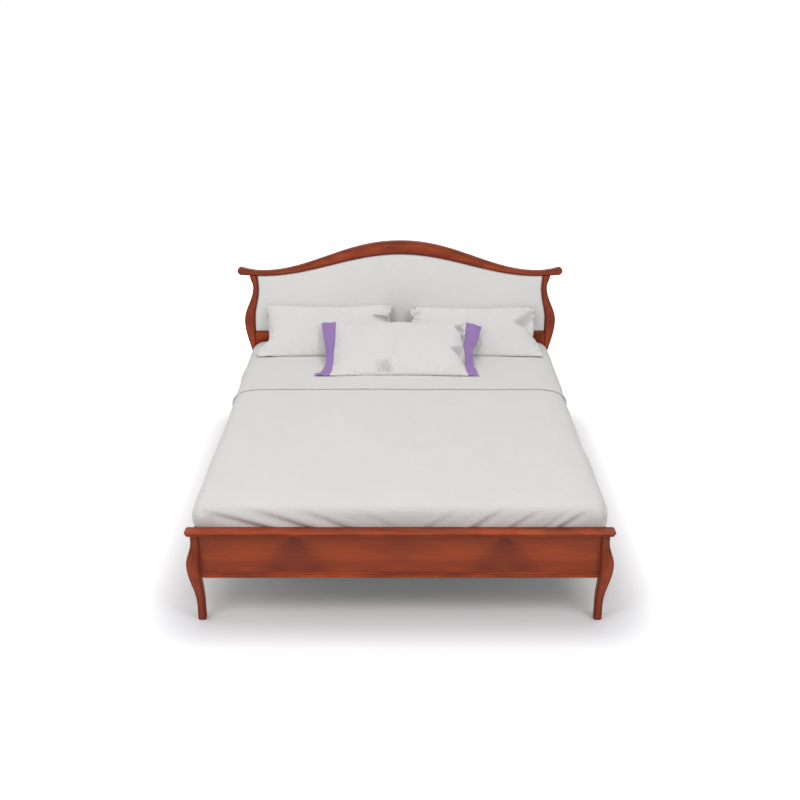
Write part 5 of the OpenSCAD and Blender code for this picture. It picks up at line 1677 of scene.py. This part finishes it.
class BED_OT_pillow_bands(bpy.types.Operator):
    """Sew the flat purple bands to the ends of the front pillow"""
    bl_idname = "bed.pillow_bands"
    bl_label = "Purple Bands"

    def execute(self, context):
        sizes, colours = context.scene.bed_sizes, context.scene.bed_finishes
        depth = FRONT_PILLOW[0]
        s0, s1 = (math.radians(a) for a in FRONT_PILLOW[2:4])
        material = cloth("purple_cotton", colours.purple, 900.0, 0.0003, 0.002, 2.0, hem=colours.bedding)
        # Width of each band in millimetres at places along the pillow's end, from its front to its back
        widths = {
            -1: ((-1, 76), (-0.9, 84), (-0.72, 64), (-0.55, 46), (-0.30, 39), (0.10, 48), (0.50, 64),
                 (0.8, 74), (1, 82)),
            1: ((-1, 58), (-0.72, 60), (-0.45, 50), (-0.20, 44), (0.10, 47), (0.30, 62), (0.50, 74), (1, 84)),
        }
        for side, label in ((-1, "left"), (1, "right")):
            seam_v, seam = FRONT_SEAM[side]
            vs, outs = np.linspace(-1, 1, 91), np.linspace(0, 1, 17)
            width = np.array([along_edge(v, widths[side]) for v in vs])
            slant = 34 * MM if side > 0 else 6 * MM
            lines, hems = [], []
            for v, full in zip(vs, width):
                start = np.array([np.interp(v, seam_v, seam[:, k]) for k in range(3)])
                a = s0 + (s1 - s0) * (v + 1) / 2
                normal = np.array([0, -math.sin(a), math.cos(a)])
                slope = np.array([0, math.cos(a), math.sin(a)])
                for out in outs:
                    wave = sizes.band_wave * (
                        0.55 * math.sin(5.2 * v + 1.3 + side)
                        + 0.35 * math.sin(11.0 * v + 2.1 * side + 1.2 * out)
                        + 0.22 * math.sin(19.0 * v + 0.7 * side)) * out
                    wave += 3.2 * MM * math.sin(8.5 * out + 2.6 * v + side) * min(1.0, 4 * out)
                    ruck = 3 * MM * math.sin(9.0 * v + side) * out - slant * out * max(0.0, v) ** 2
                    p = start + np.array([side * out * full, 0, 0]) + normal * wave + slope * ruck
                    p[2] = max(PILLOW_FLOOR_Z + 0.6 * MM, p[2] - 9 * MM * out * (1 - v) * 0.3)
                    lines.append(p)
                    outer_hem = 0.8 * ease((out - 0.965) / 0.02) * ease((-0.5 - v) / 0.1)
                    hems.append(max(ease((v - 0.965) / 0.012), outer_hem))
            sheet = np.array(lines)
            thick = np.array([0, -math.sin((s0 + s1) / 2), math.cos((s0 + s1) / 2)]) * 1.4 * MM
            flat = np.array([(out * full, v * depth / 2) for v, full in zip(vs, width) for out in outs])
            points, faces = two_sided(len(vs), len(outs), sheet + thick / 2, sheet - thick / 2)
            band = new_piece(label + "_purple_band", points, faces, material, 0, hems + hems,
                             np.vstack([flat, flat]))
            place(band, "front_pillow", "purple_linen", "front_pillow_" + label + "_band")
        return {"FINISHED"}


# Floor, lights and camera

def seen_rays(tree):
    """1 for what the camera sees, itself or by a gloss or a clear surface, and 0 for what only lights."""
    rays = tree.nodes.new("ShaderNodeLightPath")
    return calc(tree, "MAXIMUM", rays.outputs["Is Camera Ray"], calc(
        tree, "MAXIMUM", rays.outputs["Is Glossy Ray"], rays.outputs["Is Transmission Ray"]))


def distance_past(tree, spread, half_sizes):
    """Distance on the floor from a rectangle about the bed's middle."""
    past = add(tree, "ShaderNodeVectorMath", {0: spread, 1: half_sizes}, operation="SUBTRACT")
    outside = add(tree, "ShaderNodeVectorMath", {0: past.outputs[0], 1: (0, 0, 0)}, operation="MAXIMUM")
    return add(tree, "ShaderNodeVectorMath", {0: outside.outputs[0]}, operation="LENGTH").outputs[1]


class BED_OT_stage(bpy.types.Operator):
    """Lay the pale floor, hang the lights and set up the camera"""
    bl_idname = "bed.stage"
    bl_label = "Stage"

    def execute(self, context):
        scene = context.scene
        material, tree, shader, coordinates = new_material("pale_floor")
        seen = seen_rays(tree)
        tree.links.new(mix_colours(tree, seen, (0.76, 0.76, 0.76, 1), (0.86, 0.875, 0.90, 1)),
                       shader.inputs["Base Color"])
        shader.inputs["Roughness"].default_value = 1.0
        shader.inputs["Specular IOR Level"].default_value = 0.0
        spread = add(tree, "ShaderNodeVectorMath", {0: coordinates.outputs["Object"]}, operation="ABSOLUTE")
        # Painted light: the floor the camera sees glows white with the distance from the bed, which cuts the
        # bed's soft shadow off close to it
        distance = distance_past(tree, spread.outputs[0], (0.80, 1.0, 0))
        glow = calc(tree, "MULTIPLY", seen, between(tree, distance, 0.03, 0.73, 0.02, 1.0))
        # Painted light: a faint blue glow, seen only by the camera, that keeps the deep shadow under the wood
        # a plain grey
        reach_in = distance_past(tree, spread.outputs[0], (0.62, 0.78, 0))
        deep = calc(tree, "MULTIPLY", seen, between(tree, reach_in, 0.24, 0.0))
        painted_cool_glow = mix_colours(tree, deep, (0, 0, 0, 1), (0.008, 0.030, 0.052, 1))
        tree.links.new(mix_colours(tree, glow, painted_cool_glow, (1, 1, 1, 1)), shader.inputs["Emission Color"])
        shader.inputs["Emission Strength"].default_value = 1.0
        half = 30.0
        points = [(-half, -half, 0), (half, -half, 0), (half, half, 0), (-half, half, 0)]
        floor = new_piece("floor", points, [(0, 1, 2, 3)], material, 0)

        world = bpy.data.worlds.new("studio")
        world.use_nodes = True
        scene.world = world
        tree = world.node_tree
        background = next(n for n in tree.nodes if n.type == "BACKGROUND")
        seen = seen_rays(tree)
        background.inputs["Color"].default_value = (1, 1, 1, 1)
        tree.links.new(calc(tree, "MULTIPLY_ADD", seen, 0.54, 0.46), background.inputs["Strength"])

        for name, place_at, aim, size, power in (
            ("key_light", (-2.5, -3.4, 4.3), (0, 0.1, 0.5), 2.4, 58.0),
            ("fill_light", (2.5, -3.4, 4.3), (0, 0.1, 0.5), 2.4, 66.0),
            ("top_light", (0.0, 0.2, 4.8), (0, 0, 0.4), 3.2, 52.0),
            ("side_light", (-3.4, -1.0, 1.9), (0, 0.9, 0.8), 1.4, 11.0),
        ):
            lamp = bpy.data.lights.new(name, "AREA")
            lamp.shape, lamp.size, lamp.energy = "SQUARE", size, power
            holder = bpy.data.objects.new(name, lamp)
            holder.location = place_at
            holder.rotation_euler = (Vector(aim) - Vector(place_at)).to_track_quat("-Z", "Y").to_euler()
            scene.collection.objects.link(holder)

        camera = bpy.data.cameras.new("camera")
        camera.lens, camera.sensor_width = 48.0, 36.0
        camera.clip_end = 200.0
        holder = bpy.data.objects.new("camera", camera)
        holder.location = (0.0, -4.825, 2.501)
        holder.rotation_euler = (math.radians(68.143), 0, 0)
        scene.collection.objects.link(holder)
        scene.camera = holder
        scene.view_settings.view_transform = "Standard"
        return {"FINISHED"}


class BED_PT_panel(bpy.types.Panel):
    """Buttons for each piece of the bed, with its sizes and finishes"""
    bl_idname = "BED_PT_panel"
    bl_label = "Upholstered Bed"
    bl_space_type = "VIEW_3D"
    bl_region_type = "UI"
    bl_category = "Bed"

    def draw(self, context):
        for step in STEPS:
            self.layout.operator(step.bl_idname)
        for group_name in ("bed_sizes", "bed_finishes"):
            box = self.layout.box()
            values = getattr(context.scene, group_name)
            for key in values.__annotations__:
                box.prop(values, key)


STEPS = (
    BED_OT_stage, BED_OT_crest_rail, BED_OT_legs_and_posts, BED_OT_footboard, BED_OT_rails,
    BED_OT_headboard_upholstery, BED_OT_slats, BED_OT_centre_support, BED_OT_fasteners, BED_OT_mattress,
    BED_OT_duvet, BED_OT_turned_sheet, BED_OT_pillows, BED_OT_pillow_bands,
)
CLASSES = (BedSizes, BedFinishes) + STEPS + (BED_PT_panel,)


def register():
    for item in CLASSES:
        bpy.utils.register_class(item)
    bpy.types.Scene.bed_sizes = PointerProperty(type=BedSizes)
    bpy.types.Scene.bed_finishes = PointerProperty(type=BedFinishes)


def unregister():
    del bpy.types.Scene.bed_finishes
    del bpy.types.Scene.bed_sizes
    for item in reversed(CLASSES):
        bpy.utils.unregister_class(item)


def main():
    register()
    for step in STEPS:
        operator = step.bl_idname.split(".")[1]
        getattr(bpy.ops.bed, operator)()


if __name__ == "__main__":
    main()
